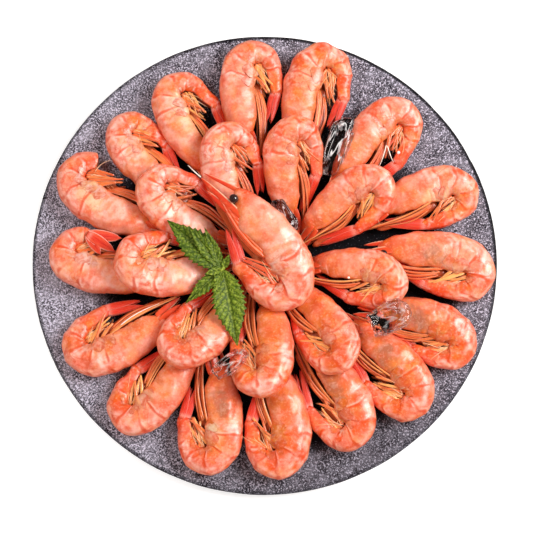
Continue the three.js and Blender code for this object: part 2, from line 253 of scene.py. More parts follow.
def band(tree, source, rise, fall):
    # 1 between the end of the rise and the start of the fall
    return addMath(tree, "MULTIPLY", addRange(tree, source, *rise, 0, 1), addRange(tree, source, *fall, 1, 0))


def addBump(tree, shader, height, strength, distance, before=None):
    # Relief as deep as distance, in metres, laid over the one before
    node = addNode(tree, "ShaderNodeBump", Strength=strength, Distance=distance)
    tree.links.new(height, node.inputs["Height"])
    if before is not None:
        tree.links.new(before, node.inputs["Normal"])
    tree.links.new(node.outputs["Normal"], shader.inputs["Normal"])
    return node.outputs["Normal"]


def tintOf(tree, output="Color"):
    # Colour laid on the mesh; the finishes that read its alpha say what it means there
    node = tree.nodes.new("ShaderNodeAttribute")
    node.attribute_name = "tint"
    return node.outputs[output]


def warped(tree, place, scale, reach):
    # The place pushed about by a noise, so that cells lose their straight edges
    noise = addNode(tree, "ShaderNodeTexNoise", place, Scale=scale, Detail=2)
    shift = tree.nodes.new("ShaderNodeVectorMath")
    shift.operation = "MULTIPLY_ADD"
    shift.inputs[1].default_value = (reach, reach, reach)
    tree.links.new(noise.outputs["Color"], shift.inputs[0])
    tree.links.new(place, shift.inputs[2])
    return shift.outputs[0]


def addCells(tree, source, scale, feature):
    # Irregular cells, about scale of them along a metre
    node = addNode(tree, "ShaderNodeTexVoronoi", source, Scale=scale)
    node.feature = feature
    return node


def stretchedUv(tree, along, around):
    # The mesh's own UV map, stretched for streaks that run lengthwise
    uv = tree.nodes.new("ShaderNodeUVMap")
    uv.uv_map = "alongAround"
    return addNode(tree, "ShaderNodeMapping", uv.outputs["UV"], Scale=(along, around, 1)).outputs["Vector"]


shellLook = {
    # how many patches of each pattern lie along a metre, then the colours that they mix in
    "mottle": 240,
    "grain": 1000,
    "cells": 170,
    "ambers": 125,
    "pinks": 108,
    "patches": 90,
    "paler": paint("ffd2c4"),
    "deeper": paint("d2400a"),
    "line": paint("de4a0a"),
    "amber": paint("f68c34"),
    "pink": paint("f67a66"),
    "shade": paint("d63c04"),
    "seam": paint("dc4408"),
    # painted shade: deep orange where the shell turns away from facing up
    "aside": (0.94, 0.4, 0.1),  # multiplies the colour where the shell faces sideways
    "roughness": (0.3, 0.5),
}


def shellFinish():
    # Tint of the mesh, blotched paler and deeper and crossed by thin lines, with painted shade where it turns
    # away from facing up, wet, a little translucent.
    # The tint's alpha is how strong the lines are, and above 1 it is the line along a seam
    look = shellLook
    material, tree, shader, place = newMaterial("cookedShell")
    strength = tintOf(tree, "Alpha")
    lineShare = addRange(tree, strength, 0, 1, 0, 1)
    blotch = addNoise(tree, place, look["mottle"], 4)
    fine = addNoise(tree, place, look["grain"])
    bent = warped(tree, place, 260, 0.006)
    cell = addCells(tree, bent, look["cells"], "F1").outputs["Color"]
    rim = addCells(tree, bent, look["cells"], "DISTANCE_TO_EDGE").outputs["Distance"]
    colour = tinge(tree, tintOf(tree), look["amber"], addNoise(tree, place, look["ambers"]), 0.46, 0.68, 0.62)
    colour = tinge(tree, colour, look["pink"], addNoise(tree, place, look["pinks"]), 0.5, 0.7, 0.4)
    inCell = addMath(tree, "MULTIPLY", addRange(tree, cell, 0.58, 0.75, 0, 0.2), lineShare)
    colour = addMix(tree, inCell, colour, look["paler"])
    colour = tinge(tree, colour, look["paler"], blotch, 0.52, 0.78, 0.48)
    colour = tinge(tree, colour, look["deeper"], blotch, 0.47, 0.26, 0.42)
    # Painted shade: the colour is multiplied towards deep orange the more the shell turns away from facing up
    facing = addNode(tree, "ShaderNodeSeparateXYZ", tree.nodes.new("ShaderNodeTexCoord").outputs["Normal"])
    aside = addRange(tree, facing.outputs["Z"], -0.1, 0.9, 0.95, 0)
    colour = addMix(tree, aside, colour, look["aside"], "MULTIPLY")
    patchy = addRange(tree, addNoise(tree, place, look["patches"], 2, 0.5), 0.42, 0.6, 0.05, 0.55)
    line = addMath(tree, "MULTIPLY", addRange(tree, rim, 0.012, 0.055, 1, 0), patchy)
    line = addMath(tree, "MULTIPLY", line, lineShare)
    colour = addMix(tree, line, colour, look["line"])
    colour = tinge(tree, colour, look["paler"], fine, 0.54, 0.72, 0.27)
    colour = tinge(tree, colour, look["shade"], fine, 0.46, 0.3, 0.32)
    colour = tinge(tree, colour, look["seam"], strength, 1.05, 1.7, 0.7)
    tree.links.new(colour, shader.inputs["Base Color"])
    low, high = look["roughness"]
    tree.links.new(addRange(tree, blotch, 0.3, 0.7, high, low), shader.inputs["Roughness"])
    setSockets(shader, Subsurface_Weight=0.3, Subsurface_Radius=(1.0, 0.28, 0.12), Subsurface_Scale=0.0022,
               Specular_IOR_Level=0.3, Coat_Weight=0.6, Coat_Roughness=0.28)
    normal = addBump(tree, shader, blotch, 0.3, 0.0004)
    normal = addBump(tree, shader, line, 0.3, -0.0002, normal)
    addBump(tree, shader, fine, 0.25, 0.0001, normal)
    return material


finishColours = {
    # what the finishes of tail, limbs, eyes, ice and mint mix in
    "paleStreak": paint("f8775a"),
    "deepStreak": paint("b81c0c"),
    "paleLimb": paint("f6b080"),
    "deepLimb": paint("c4420e"),
    "eye": paint("120c10"),
    "facet": paint("4a2f2c"),
    # painted reflection: the dark streaks in the ice
    "darkReflection": (0.03, 0.03, 0.035),
    # lighter green on the puffs between the veins, partly a painted highlight
    "quilt": paint("aab848"),
    "net": paint("2c4408"),
    "leafGrain": paint("263c06"),
}


def tailFinish():
    # Tint with lengthwise streaks
    material, tree, shader, _ = newMaterial("tailFan")
    streak = addNoise(tree, stretchedUv(tree, 2.5, 30), 1)
    colour = tinge(tree, tintOf(tree), finishColours["paleStreak"], streak, 0.56, 0.64, 0.4)
    colour = tinge(tree, colour, finishColours["deepStreak"], streak, 0.47, 0.4, 0.85)
    tree.links.new(colour, shader.inputs["Base Color"])
    setSockets(shader, Roughness=0.36, Specular_IOR_Level=0.3, Subsurface_Weight=0.12,
               Subsurface_Radius=(1.0, 0.35, 0.2), Subsurface_Scale=0.001, Coat_Weight=0.25,
               Coat_Roughness=0.2)
    addBump(tree, shader, streak, 0.6, 0.0003)
    return material


def limbFinish():
    # Tint of the mesh with fine streaks, thin and translucent
    material, tree, shader, place = newMaterial("legShell")
    streak = addNoise(tree, place, 420)
    colour = tinge(tree, tintOf(tree), finishColours["paleLimb"], streak, 0.56, 0.8, 0.35)
    colour = tinge(tree, colour, finishColours["deepLimb"], streak, 0.46, 0.26, 0.4)
    tree.links.new(colour, shader.inputs["Base Color"])
    setSockets(shader, Roughness=0.3, Subsurface_Weight=0.1, Subsurface_Radius=(1.0, 0.45, 0.2),
               Subsurface_Scale=0.001, Coat_Weight=0.3, Coat_Roughness=0.15)
    addBump(tree, shader, streak, 0.25, 0.0002)
    return material


def eyeFinish():
    # Near black with a brown cast and a sharp glint
    material, tree, shader, place = newMaterial("eye")
    facet = addNoise(tree, place, 2500, 2, 0.5)
    colour = tinge(tree, finishColours["eye"], finishColours["facet"], facet, 0.4, 0.7, 1)
    tree.links.new(colour, shader.inputs["Base Color"])
    setSockets(shader, Roughness=0.18, Coat_Weight=0.6)
    addBump(tree, shader, facet, 0.2, 0.0001)
    return material


slateLook = {
    "stone": paint("1c1b22"),
    "brown": paint("302c32"),
    "speck": paint("cfd0e0"),
    "specks": 1350,  # along a metre, so somewhat less than a millimetre apart
    "finer": 2.1,
}


def slateFinish():
    # Dark stone crowded with pale specks of two sizes, fewer where the tint's alpha is low, and multiplied by
    # the tint, which holds painted light and shade
    look = slateLook
    material, tree, shader, place = newMaterial("speckledSlate")
    crowd = addRange(tree, tintOf(tree, "Alpha"), 0, 1, -0.11, 0.03)
    coarse = addMath(tree, "ADD", addNoise(tree, place, look["specks"], 2), crowd)
    fine = addMath(tree, "ADD", addNoise(tree, place, look["specks"] * look["finer"], 2, 0.7), crowd)
    ground = tinge(tree, look["stone"], look["brown"], addNoise(tree, place, 28, 3, 0.5), 0.4, 0.65, 1)
    cloud = addRange(tree, addNoise(tree, place, 170), 0.4, 0.7, 0, 0.35)
    grey = addMath(tree, "MULTIPLY", cloud, tintOf(tree, "Alpha"))
    colour = addMix(tree, grey, ground, look["speck"])
    colour = tinge(tree, colour, look["speck"], coarse, 0.52, 0.65, 0.95)
    colour = tinge(tree, colour, look["speck"], fine, 0.56, 0.68, 0.8)
    colour = tinge(tree, colour, look["stone"], fine, 0.46, 0.34, 0.8)
    tree.links.new(addMix(tree, 1.0, colour, tintOf(tree), "MULTIPLY"), shader.inputs["Base Color"])
    setSockets(shader, Roughness=0.7, Specular_IOR_Level=0.08)
    normal = addBump(tree, shader, coarse, 0.6, 0.0003)
    addBump(tree, shader, fine, 0.5, 0.00015, normal)
    return material


def iceFinish():
    # Clear wet ice with white and dark streaks along its length, as strong as the tint's alpha. The white
    # streaks are partly frosted ice and partly painted glints; the dark ones are painted reflections of the
    # dark plate
    material, tree, shader, place = newMaterial("clearIce")
    strength = tintOf(tree, "Alpha")
    lengthwise = stretchedUv(tree, 3.5, 13)
    melt = addNoise(tree, place, 190, 3, 0.5)
    streak = addNoise(tree, lengthwise, 1, 2, 0.5)
    shard = addNoise(tree, lengthwise, 1.7, 2, 0.5)
    # painted glints, partly frosted ice, and painted dark reflections
    white = addMath(tree, "MULTIPLY", band(tree, streak, (0.5, 0.52), (0.53, 0.56)), strength)
    dark = addMath(tree, "MULTIPLY", band(tree, shard, (0.55, 0.57), (0.6, 0.64)), strength)
    clear = addMix(tree, white, tintOf(tree), (1, 1, 1))
    tree.links.new(addMix(tree, dark, clear, finishColours["darkReflection"]), shader.inputs["Base Color"])
    tree.links.new(addRange(tree, white, 0, 1, 1, 0.15), shader.inputs["Transmission Weight"])
    tree.links.new(addRange(tree, white, 0, 1, 0.03, 0.2), shader.inputs["Roughness"])
    setSockets(shader, IOR=1.34)
    normal = addBump(tree, shader, melt, 0.6, 0.0011)
    addBump(tree, shader, streak, 0.4, 0.0005, normal)
    return material


def leafFinish():
    # Tint of the mesh, netted with darker veins and puffed up between them, lighter on the puffs, partly a
    # painted highlight
    material, tree, shader, place = newMaterial("mintLeaf")
    grain = addNoise(tree, place, 1000)
    net = addCells(tree, warped(tree, place, 400, 0.002), 620, "DISTANCE_TO_EDGE").outputs["Distance"]
    colour = tinge(tree, tintOf(tree), finishColours["quilt"], net, 0.12, 0.4, 0.4)
    colour = tinge(tree, colour, finishColours["net"], net, 0.12, 0.03, 0.5)
    colour = tinge(tree, colour, finishColours["leafGrain"], grain, 0.46, 0.28, 0.6)
    tree.links.new(colour, shader.inputs["Base Color"])
    setSockets(shader, Roughness=0.48, Specular_IOR_Level=0.3, Subsurface_Weight=0.1,
               Subsurface_Radius=(0.5, 1.0, 0.15), Subsurface_Scale=0.001)
    normal = addBump(tree, shader, net, 0.5, 0.0008)
    addBump(tree, shader, grain, 0.4, 0.0002, normal)
    return material


finishes = {
    "shell": shellFinish(),
    "tail": tailFinish(),
    "legs": limbFinish(),
    "eyes": eyeFinish(),
    "slate": slateFinish(),
    "ice": iceFinish(),
    "mint": leafFinish(),
}
print("finishes ready")


# Shrimp

anatomy = {
    "rostrum": 9.0,
    "carapace": 23.5,
    "carapaceTurn": 4,
    "segments": [6, 7.5, 8, 6.5, 6, 12.5, 2],  # the last is the hinge of the tail fan
    "turns": [8, 24, 60, 50, 30, 14, 18],
    "fan": 19,
    "tailStart": 57.5,  # from here on a shrimp's own tail factor stretches it
    "bendMiddle": (8.5, -8.0),
    "flankEdge": 2.5,  # how far round the body the flank ends, back = 0, belly = pi
    "bellyShare": 0.45,  # half the width at that edge
    "eyeRadius": 1.75,
}
shellShape = {
    "around": 56,  # points of a ring
    "seamWander": 0.4,
    "seamStep": (0.15, 0.4),  # height of the step at a seam, and how softly it falls
    "neckStep": (0.07, 0.7),
    "lipLength": 1.3,
    "lobes": 0.7,
    "flattening": 0.22,  # of each plate between its seams, so that the back is cornered
    "swell": 0.2,
    "ripple": 0.05,
}
# Along the body: height of the back, depth of the belly, half the width
bodyTable = np.array([
    [-3.2, 0.9, 0.9, 0.8],
    [-1.5, 2.6, 2.4, 2.1],
    [0, 3.4, 3.6, 3.0],
    [4, 4.8, 5.4, 4.4],
    [9, 6.0, 7.0, 5.6],
    [16, 7.2, 8.0, 6.2],
    [23.5, 7.5, 8.2, 6.2],
    [29.5, 7.3, 9.3, 6.1],
    [35, 7.2, 9.0, 6.0],
    [39, 7.1, 7.2, 5.9],
    [42, 7.0, 6.6, 5.8],
    [45, 6.8, 5.9, 5.7],
    [51.5, 5.6, 4.2, 4.9],
    [57.5, 4.2, 3.3, 4.0],
    [70, 2.9, 2.7, 2.9],
    [71.6, 1.8, 1.7, 1.8],
])
carapaceEnd = anatomy["carapace"]
seams = carapaceEnd + np.cumsum([0] + anatomy["segments"])
bodyEnd = seams[-2]
tailTip = bodyEnd + anatomy["fan"]
pathStep = 0.25

shellColours = {
    "salmon": paint("e4521c"),
    "pink": paint("ee6c50"),
    "carapace": paint("e8682e"),
    "tan": paint("d87434"),
    "orange": paint("ec5a1c"),
    "amber": paint("f08a30"),
    "cream": paint("ffd0a2"),
    "pale": paint("fec6b6"),
    "liver": paint("a36a50"),
    "seam": paint("da420a"),
    "red": paint("d6452c"),
    "crimson": paint("dc3420"),
    # painted shade in the hollow under the body
    "hollowShade": paint("86331a"),
    "flesh": paint("f2c4ad"),
    "white": paint("ffe6dc"),
    "dark": paint("5a3020"),
}


def turnedAt(at, curl):
    # Degrees turned by the middle line, a straight rise over each segment
    stops = np.concatenate([[0], seams])
    degrees = np.concatenate([[0, anatomy["carapaceTurn"]],
                              anatomy["carapaceTurn"] + curl * np.cumsum(anatomy["turns"])])
    return np.interp(at, stops, degrees)


def bodyPath(shrimp):
    # Middle line: its heading is the turn eased over 2 mm each way, its place the sum of the steps
    at = np.arange(-anatomy["rostrum"], tailTip + 1, pathStep)
    eased = np.mean([turnedAt(at + 2 * k, shrimp["curl"]) for k in (-1, -0.5, 0, 0.5, 1)], axis=0)
    heading = -np.radians(eased)
    step = pathStep * np.where(at < anatomy["tailStart"], 1, shrimp["tail"])
    x = np.concatenate([[0], np.cumsum(np.cos(heading) * step)[:-1]])
    y = np.concatenate([[0], np.cumsum(np.sin(heading) * step)[:-1]])
    x -= np.interp(carapaceEnd, at, x)
    y -= np.interp(carapaceEnd, at, y)
    return lambda s: (np.interp(s, at, x), np.interp(s, at, y), np.interp(s, at, heading))


def shapeAt(at):
    # Back, belly and side, smoothed a little between the rows of the table
    return [np.mean([np.interp(at + k, bodyTable[:, 0], bodyTable[:, c]) for k in (-0.8, 0, 0.8)], axis=0)
            for c in (1, 2, 3)]


def bodyRows(end):
    # Distances along the body, half a millimetre apart and closer at each seam
    close = (seams[:-1, None] + np.array([-0.8, -0.4, -0.2, 0, 0.15, 0.3, 0.6, 0.9])).ravel()
    rows = np.concatenate([np.arange(bodyTable[0, 0], end, 0.5), close, [end]])
    rows = np.sort(rows[(rows >= bodyTable[0, 0]) & (rows <= end)])
    return rows[np.concatenate([[True], np.diff(rows) > 0.07])]


def seamWave(row, fold, seed):
    # How far the seams wander to and fro round the body
    return shellShape["seamWander"] * unevenness(fold * 7, row * 0.12, 9, seed + 4)


def bodySection(shrimp, row, fold, s):
    # Powers of a sine and a cosine over the back, then the flank falls as a sine to its edge, and
    # the underside is hollow between both edges. The last two are how far under a point lies, and
    # the height of the section
    back, belly, side = shapeAt(row)
    belly = belly + shrimp.get("jowl", 0.5) * hump(row, 9.5, 5)
    quarter = math.pi / 2
    flankEdge = anatomy["flankEdge"]
    down = np.clip((fold - quarter) / (flankEdge - quarter), 0, 1)
    under = np.clip((fold - flankEdge) / (math.pi - flankEdge), 0, 1)
    tailward = ramp(row, 55, 60)
    edge = anatomy["bellyShare"] + 0.2 * tailward
    hollow = (0.22 + 0.14 * ramp(row, 20, 30)) * (1 - 0.9 * tailward)
    upper = np.minimum(fold, quarter)
    up = np.where(fold <= quarter, back * np.clip(np.cos(upper), 0, 1) ** 0.94,
                  -belly * np.sin(down * quarter) ** 0.95 * (1 - hollow * ramp(under, 0, 1)))
    out = np.where(fold <= quarter, side * np.sin(upper) ** 0.9,
                   side * ((1 - edge) * np.clip(np.cos(down * quarter), 0, 1) ** 0.8 + edge) * (1 - under))
    return up, out * np.sign(s), under, back + belly


def shellRelief(row, fold, c, under, tall, seed):
    # Each plate rises to a lip at its rear and the next starts lower. Its edges are lobes and its
    # back is flattened, both by a sine between its seams, and sums of waves make it uneven
    look = shellShape
    lift = np.zeros_like(row)
    share = np.zeros_like(row)
    wave = seamWave(row, fold, seed)
    for seam in seams[:-2]:
        d = row - seam + (wave if seam > carapaceEnd else 0)
        high, soft = look["seamStep" if seam > carapaceEnd else "neckStep"]
        lift += high * np.exp(-np.abs(d) / look["lipLength"]) * np.tanh(-d / soft) * (1 - 0.5 * under)
    for low, high in zip(seams[:-2], seams[1:]):
        share += np.where((row > low) & (row <= high), (row - low) / (high - low), 0)
    lobe = np.where(row > carapaceEnd, np.sin(math.pi * share) ** 0.7 - 0.45, 0)
    lift += look["lobes"] * lobe * hump(fold, 2.35, 0.35) * (1 - 0.8 * hump(row, 42, 8))
    lift -= look["flattening"] * np.sin(math.pi * share) * ramp(c, 0, 0.8) * ramp(row, 26, 32)
    around = fold * tall / 2
    lift += look["swell"] * unevenness(row, around, 10, seed)
    lift += look["ripple"] * unevenness(row, around, 3, seed + 1)
    return lift * ramp(row, -3, 4)


def bodyGrid(shrimp, seed):
    # Rings along the middle line, each the section with its relief. They lean along the body by the
    # square of a sine, so that the seams curve
    path = bodyPath(shrimp)
    end = shrimp.get("brokenAt", bodyTable[-1, 0])
    row, angle = gridOf(bodyRows(end), shellShape["around"])
    fold = np.abs((angle + math.pi) % math.tau - math.pi)
    c, s = np.cos(angle), np.sin(angle)
    up, out, under, tall = bodySection(shrimp, row, fold, s)
    lift = shellRelief(row, fold, c, under, tall, seed)
    grown = 1 + lift / (np.hypot(up, out) + 1e-6)
    up, out = up * grown, out * grown
    window = ramp(row, 15, 23) * (1 - ramp(row, 60, 66))
    x, y, heading = path(row + window * (1.1 * s ** 2 - 0.8 * (1 - c) / 2))
    points = np.stack([x - np.sin(heading) * up, y + np.cos(heading) * up, out], -1)
    uv = np.stack([row / tailTip, fold / math.pi], -1)
    return points, bodyTint(shrimp, points, row, c, fold, seed), uv


def milkOf(shrimp):
    # How pale a shrimp is drawn, partly the shell's own paleness and mostly painted light that is strongest
    # on the left of the plate: a ramp over the cosine of its bearing
    return shrimp.get("milk", float(ramp(math.cos(math.radians(shrimp["bearing"] - 165)), -0.2, 0.8)))


def seamTint(tint, row, fold, seed):
    # A bell of white before each seam, patchy round the body, and how strong the line behind it is
    place = row + seamWave(row, fold, seed)
    mark = np.zeros_like(row)
    for seam in seams[1:-1]:
        patchy = ramp(unevenness(row * 0.2, fold * 7, 7, seed + int(seam)), -1.0, 0.8)
        tint = blend(tint, shellColours["white"], 0.45 * patchy * hump(place, seam - 0.8, 0.42))
        mark = np.maximum(mark, (0.35 + 0.65 * patchy) * hump(place, seam + 0.25, 0.6))
    return tint, mark


def strokeTint(tint, shrimp, points, fold, fleck):
    # Marks on the shrimp's upper side, most of them its own colour and some painted highlights, each by a
    # ramp over the distance from its stroke
    x, y, z = (points[..., i] for i in range(3))
    seen = (z > 0) & (fold < anatomy["flankEdge"])
    for x0, y0, x1, y1, width, colour, strength in shrimp.get("marks", []):
        span = max((x1 - x0) ** 2 + (y1 - y0) ** 2, 1e-6)
        along = np.clip(((x - x0) * (x1 - x0) + (y - y0) * (y1 - y0)) / span, 0, 1)
        away = np.hypot(x - x0 - along * (x1 - x0), y - y0 - along * (y1 - y0))
        spot = strength * (1 - ramp(away + 0.15 * width * fleck, 0.5 * width, 1.1 * width))
        tint = blend(tint, shellColours[colour], spot * seen)
    return tint


def bodyTint(shrimp, points, row, c, fold, seed):
    # Colours laid over each other from head to tail, each a bell or ramp along and round the body
    k = shellColours
    drift = unevenness(row, fold * 7, 11, seed + 2)
    fleck = unevenness(row, fold * 7, 3.4, seed + 3)
    edge = row + 0.6 * fleck
    front = 1 - ramp(row, carapaceEnd - 0.1, carapaceEnd + 0.1)
    rear = 1 - front
    blush = shrimp.get("blush", 0.25)
    # Painted light, partly the shell's own paleness: flank, back and carapace are drawn paler and less
    # orange, most on the left of the plate
    milk = milkOf(shrimp)
    milky = 0.85 * milk * (0.3 + 0.7 * ramp(fleck + 0.6 * drift, -0.7, 0.6))
    # the pale back along the outer bend is partly the shell's own colour and partly a painted sheen
    back = ramp(c + 0.35 * drift, 0.05 - 0.5 * milk, 0.9) * (1 - ramp(row, 56, 64)) * (0.7 + 0.35 * fleck)
    tint = layered(k, "salmon", [
        ("pink", 0.6 * ramp(drift, -0.4, 1.2)),
        ("orange", 0.4 * ramp(-drift, -0.1, 1.5)),
        ("orange", 0.6 * ramp(-c + 0.3 * drift, -0.5, 0.5)),
        ("carapace", 0.75 * front),
        ("tan", 0.8 * front * ramp(-c + 0.14 * fleck, -0.25, 0.6)),
        ("seam", 0.5 * (1 - ramp(row, 1, 9)) * ramp(c, -0.6, 0.6)),
        ("seam", 0.35 * front * hump(c, 1, 0.12)),
        # pale on the carapace's back, partly its own colour and partly a painted sheen
        ("pale", blush * front * ramp(c + 0.3 * drift, 0.4 - 1.4 * blush, 0.9) * ramp(row, 0, 10)),
        ("pale", 0.28 * milk * front * ramp(c + 0.4 * drift, -1.0, 0.5) * ramp(row, 0, 10)),
        ("liver", 0.7 * shrimp["liver"] * hump(edge, 15.5, 4.2) * hump(c, -0.2, 0.5)),
        ("orange", shrimp["warm"] * rear * hump(edge, 37, 10) * hump(c, -0.35, 0.6)),
        ("orange", 0.85 * hump(row + 0.3 * fleck, carapaceEnd + 1.5, 1.3) * ramp(c, -0.5, 0.5)),
        ("cream", shrimp["cream"] * rear * hump(edge, 31, 6) * hump(c, -0.6, 0.55)),
        ("amber", 0.55 * rear * hump(edge, 34, 5) * hump(c, -0.45, 0.35)),
        ("amber", 0.65 * hump(edge, 24, 8) * hump(c, -0.4, 0.6) * ramp(drift, -1.2, 0.6)),
        ("orange", 0.45 * (1 - milk) * hump(edge, 32, 11) * hump(c, 0.05, 0.7)),
        ("pale", milky * hump(edge, 25, 15) * hump(c, -0.1, 0.95)),
        # pale back, partly its own colour and partly a painted sheen along the outer bend
        ("pale", 1.05 * shrimp["pale"] * rear * back),
        ("red", 0.3 * ramp(row, 52, 66)),
        ("crimson", 0.5 * ramp(row, 67, 71)),
        ("pale", 0.12 * hump(row + 0.3 * fleck, carapaceEnd - 0.5, 0.9) * ramp(c + 0.5 * drift, -0.9, 0.6)),
    ], row)
    tint, mark = seamTint(tint, row, fold, seed)
    # Painted shade: the underside hollow is drawn dark red-brown, where shade falls inside the curl
    tint = blend(tint, k["hollowShade"], 0.85 * ramp(fold, 2.45, 2.65) * ramp(row, 4, 10))
    tint = strokeTint(tint, shrimp, points, fold, fleck)
    if "brokenAt" in shrimp:
        tint = blend(tint, k["flesh"], ramp(row, shrimp["brokenAt"] - 1.2, shrimp["brokenAt"] - 0.2))
    lines = 0.15 + 0.75 * rear * ramp(c, -1.0, -0.2) * (1 - 0.7 * ramp(row, 55, 64))
    lines = lines * (1 - mark) + 2 * mark
    return np.concatenate([tint, lines[..., None]], -1)


def tubeGrid(line, radius, wide=1.0, way=(0, 0, 1), sides=8):
    # A round or flattened section carried along a line; way is the direction it is widest in
    tangent = np.gradient(line, axis=0)
    tangent /= np.linalg.norm(tangent, axis=1)[:, None]
    way = np.asarray(way, float)
    first = way - tangent * (tangent @ way)[:, None]
    first /= np.linalg.norm(first, axis=1)[:, None]
    second = np.cross(tangent, first)
    angle = np.linspace(0, math.tau, sides, endpoint=False)
    rim = (first[:, None] * np.cos(angle)[None, :, None] * wide
           + second[:, None] * np.sin(angle)[None, :, None])
    return line[:, None] + rim * radius[:, None, None], angle


def bezier(control, count):
    # Points on a Bezier curve from its first to its last control point
    t = np.linspace(0, 1, count)[:, None]
    control = np.asarray(control, float)
    order = len(control) - 1
    weights = [math.comb(order, i) * t ** i * (1 - t) ** (order - i) for i in range(order + 1)]
    return sum(w * p for w, p in zip(weights, control)), t[:, 0]


limbColours = {
    "gold": paint("fcb062"),
    "tan": paint("e0843e"),
    "orange": paint("ea5e2e"),
    "red": paint("cc2c1a"),
    # pale rims of limbs, scales and bristles; on limbs and scales partly a painted highlight
    "edge": paint("ffd2ac"),
    "root": paint("b0481c"),
    "white": paint("fff0e4"),
}


def limbTint(t, angle, redness, seed):
    # Pale along its upper and lower edge, deeper towards the root
    t, angle = np.meshgrid(t, angle, indexing="ij")
    # the pale lines along both edges are partly the limb's own paler rims and partly a painted highlight
    lines = hump(np.cos(angle), 1, 0.3) + hump(np.cos(angle), -1, 0.15)
    return layered(limbColours, "gold", [
        ("tan", min(1, 3 * redness)),
        ("orange", redness),
        ("red", 0.6 * redness * ramp(t, 0.1, 0.8)),
        ("root", 0.35 * ramp(np.sin(t * 9 + seed), 0.2, 1)),
        ("edge", 0.75 * lines * (0.7 + 0.3 * unevenness(t * 9, angle, 3, seed))),
    ], t)


def limb(control, thick, wide, way, redness, seed, rows=16, taper=0.55):
    # One leg: a flattened tube with round ends that thins towards its tip and swells at its joints
    line, t = bezier(control, rows)
    radius = thick * (1 - taper * t ** 1.4) * (1 + 0.08 * np.cos(t * math.tau * 2))
    radius *= np.sqrt(np.clip(np.minimum(t, 1 - t) * 12 + 0.1, 0, 1))
    grid, angle = tubeGrid(line, radius, wide, way)
    uv = np.stack(np.meshgrid(t, np.abs(angle / math.pi - 1), indexing="ij"), -1)
    return grid, limbTint(t, angle, redness, seed), uv


legLook = {
    "rods": 5,  # folded legs a side, one below the other from the edge of the carapace
    "knee": (1.0, -8.1, 3.5),
    "kneeStep": (-1.0, -0.72, -0.3),
    "tip": (-33.0, -5.0, 2.6),
    "tipStep": (1.5, -0.52, -0.28),
    "thick": 0.44,
}
liningLook = {
    # soft parts seen between the limbs: half width and thickness, then the line each follows
    "legs": (2.3, 0.5, [(2, -9.4, 0.8), (-8, -11.2, 0.6), (-18, -10.2, 0.5), (-28, -7.4, 0.4)]),
    "curl": (2.6, 0.5, [(11, -11, 0.6), (5, -12.4, 0.5), (-1, -14, 0.4)]),
}
swimmeretLook = {
    "count": 8,
    # root, direction and length of the first and the last, from the carapace into the bend
    "first": (6.0, -8.0, 210, 12.5),
    "last": (9.0, -15.4, 177, 8.0),
    "bulge": (3.6, 0.3, 0, 4.5),  # added halfway between both
    "height": 3.0,
    "step": -0.17,
    "thick": 0.36,
    "wide": 2.0,
}
hairLook = {
    # fine bristles over the swimmerets, rooted along a line between two points
    "count": 9,
    "from": (10.5, -11.0, 3.2),
    "to": (7.0, -15.0, 2.6),
    "length": (6, 12),
    "thick": 0.16,
    "way": (190, 22),  # mean and scatter of their directions
}


def liningParts(seed):
    # Flat bands along the lines of liningLook, nearly the colour of the limbs' roots
    parts = []
    for wide, thick, line in liningLook.values():
        grid, tint, uv = limb(line, thick, wide / thick, (0, 1, 0), 1.0, seed, 18, 0.3)
        parts.append((grid, blend(tint, limbColours["root"], 0.85), uv))
    return parts


def hairParts(rng, seed):
    # Each a slightly bent line from its root
    parts = []
    first, last = np.array(hairLook["from"]), np.array(hairLook["to"])
    for i in range(hairLook["count"]):
        root = first + (last - first) * rng.random()
        way = math.radians(rng.normal(*hairLook["way"]))
        reach = rng.uniform(*hairLook["length"])
        along = pointing(way, rng.normal(0, 0.12))
        bend = pointing(way + math.pi / 2) * rng.normal(0, 1.2)
        control = [root, root + along * reach * 0.5 + bend, root + along * reach]
        grid, tint, uv = limb(control, hairLook["thick"], 1.0, (0, 1, 0), 0.0, seed + i, 9, 0.6)
        parts.append((grid, blend(tint, limbColours["edge"], rng.uniform(0.3, 0.9)), uv))
    return parts


def legParts(shrimp, rng, hand, seed):
    # A rod from the knee forwards to the tip, bowed down, and the thigh above the knee
    look = legLook
    parts = []
    for i in range(shrimp.get("rods", look["rods"])):
        knee, tip = (np.array(look[k]) + i * np.array(look[k + "Step"]) for k in ("knee", "tip"))
        knee = knee + rng.normal(0, (0.9, 0.2, 0.25))
        tip = tip + rng.normal(0, (1.5, 0.4, 0.25))
        knee[2], tip[2] = hand * knee[2], hand * tip[2]
        tip[1] += shrimp.get("legLift", 0)
        bow = np.array([0, -1.5 - 0.2 * i + rng.normal(0, 0.3), 0.3 * hand])
        rod = [knee, knee + (-8, 0, 0) + bow * 0.6, (knee + tip) / 2 + bow * 1.5, tip + (8, 0, 0) + bow, tip]
        thick = shrimp.get("thick", look["thick"]) * rng.uniform(0.6, 1.25)
        redness = min(1, shrimp.get("redder", 0) + 0.1 * i + 0.7 * rng.random())
        parts.append(limb(rod, thick, 1.15, (0, 1, 0.2), redness, seed + i, 26, 0.3))
        hip = (-9 + 1.6 * i, -5.8, hand * 1.8)
        thigh = [hip, knee + (-4, 1.6, -0.9 * hand), knee + (0.2, 0.1, -0.3 * hand)]
        parts.append(limb(thigh, thick, 1.0, (0, 1, 0.2), 0.3, seed + 9 + i, 10, 0.2))
    return parts


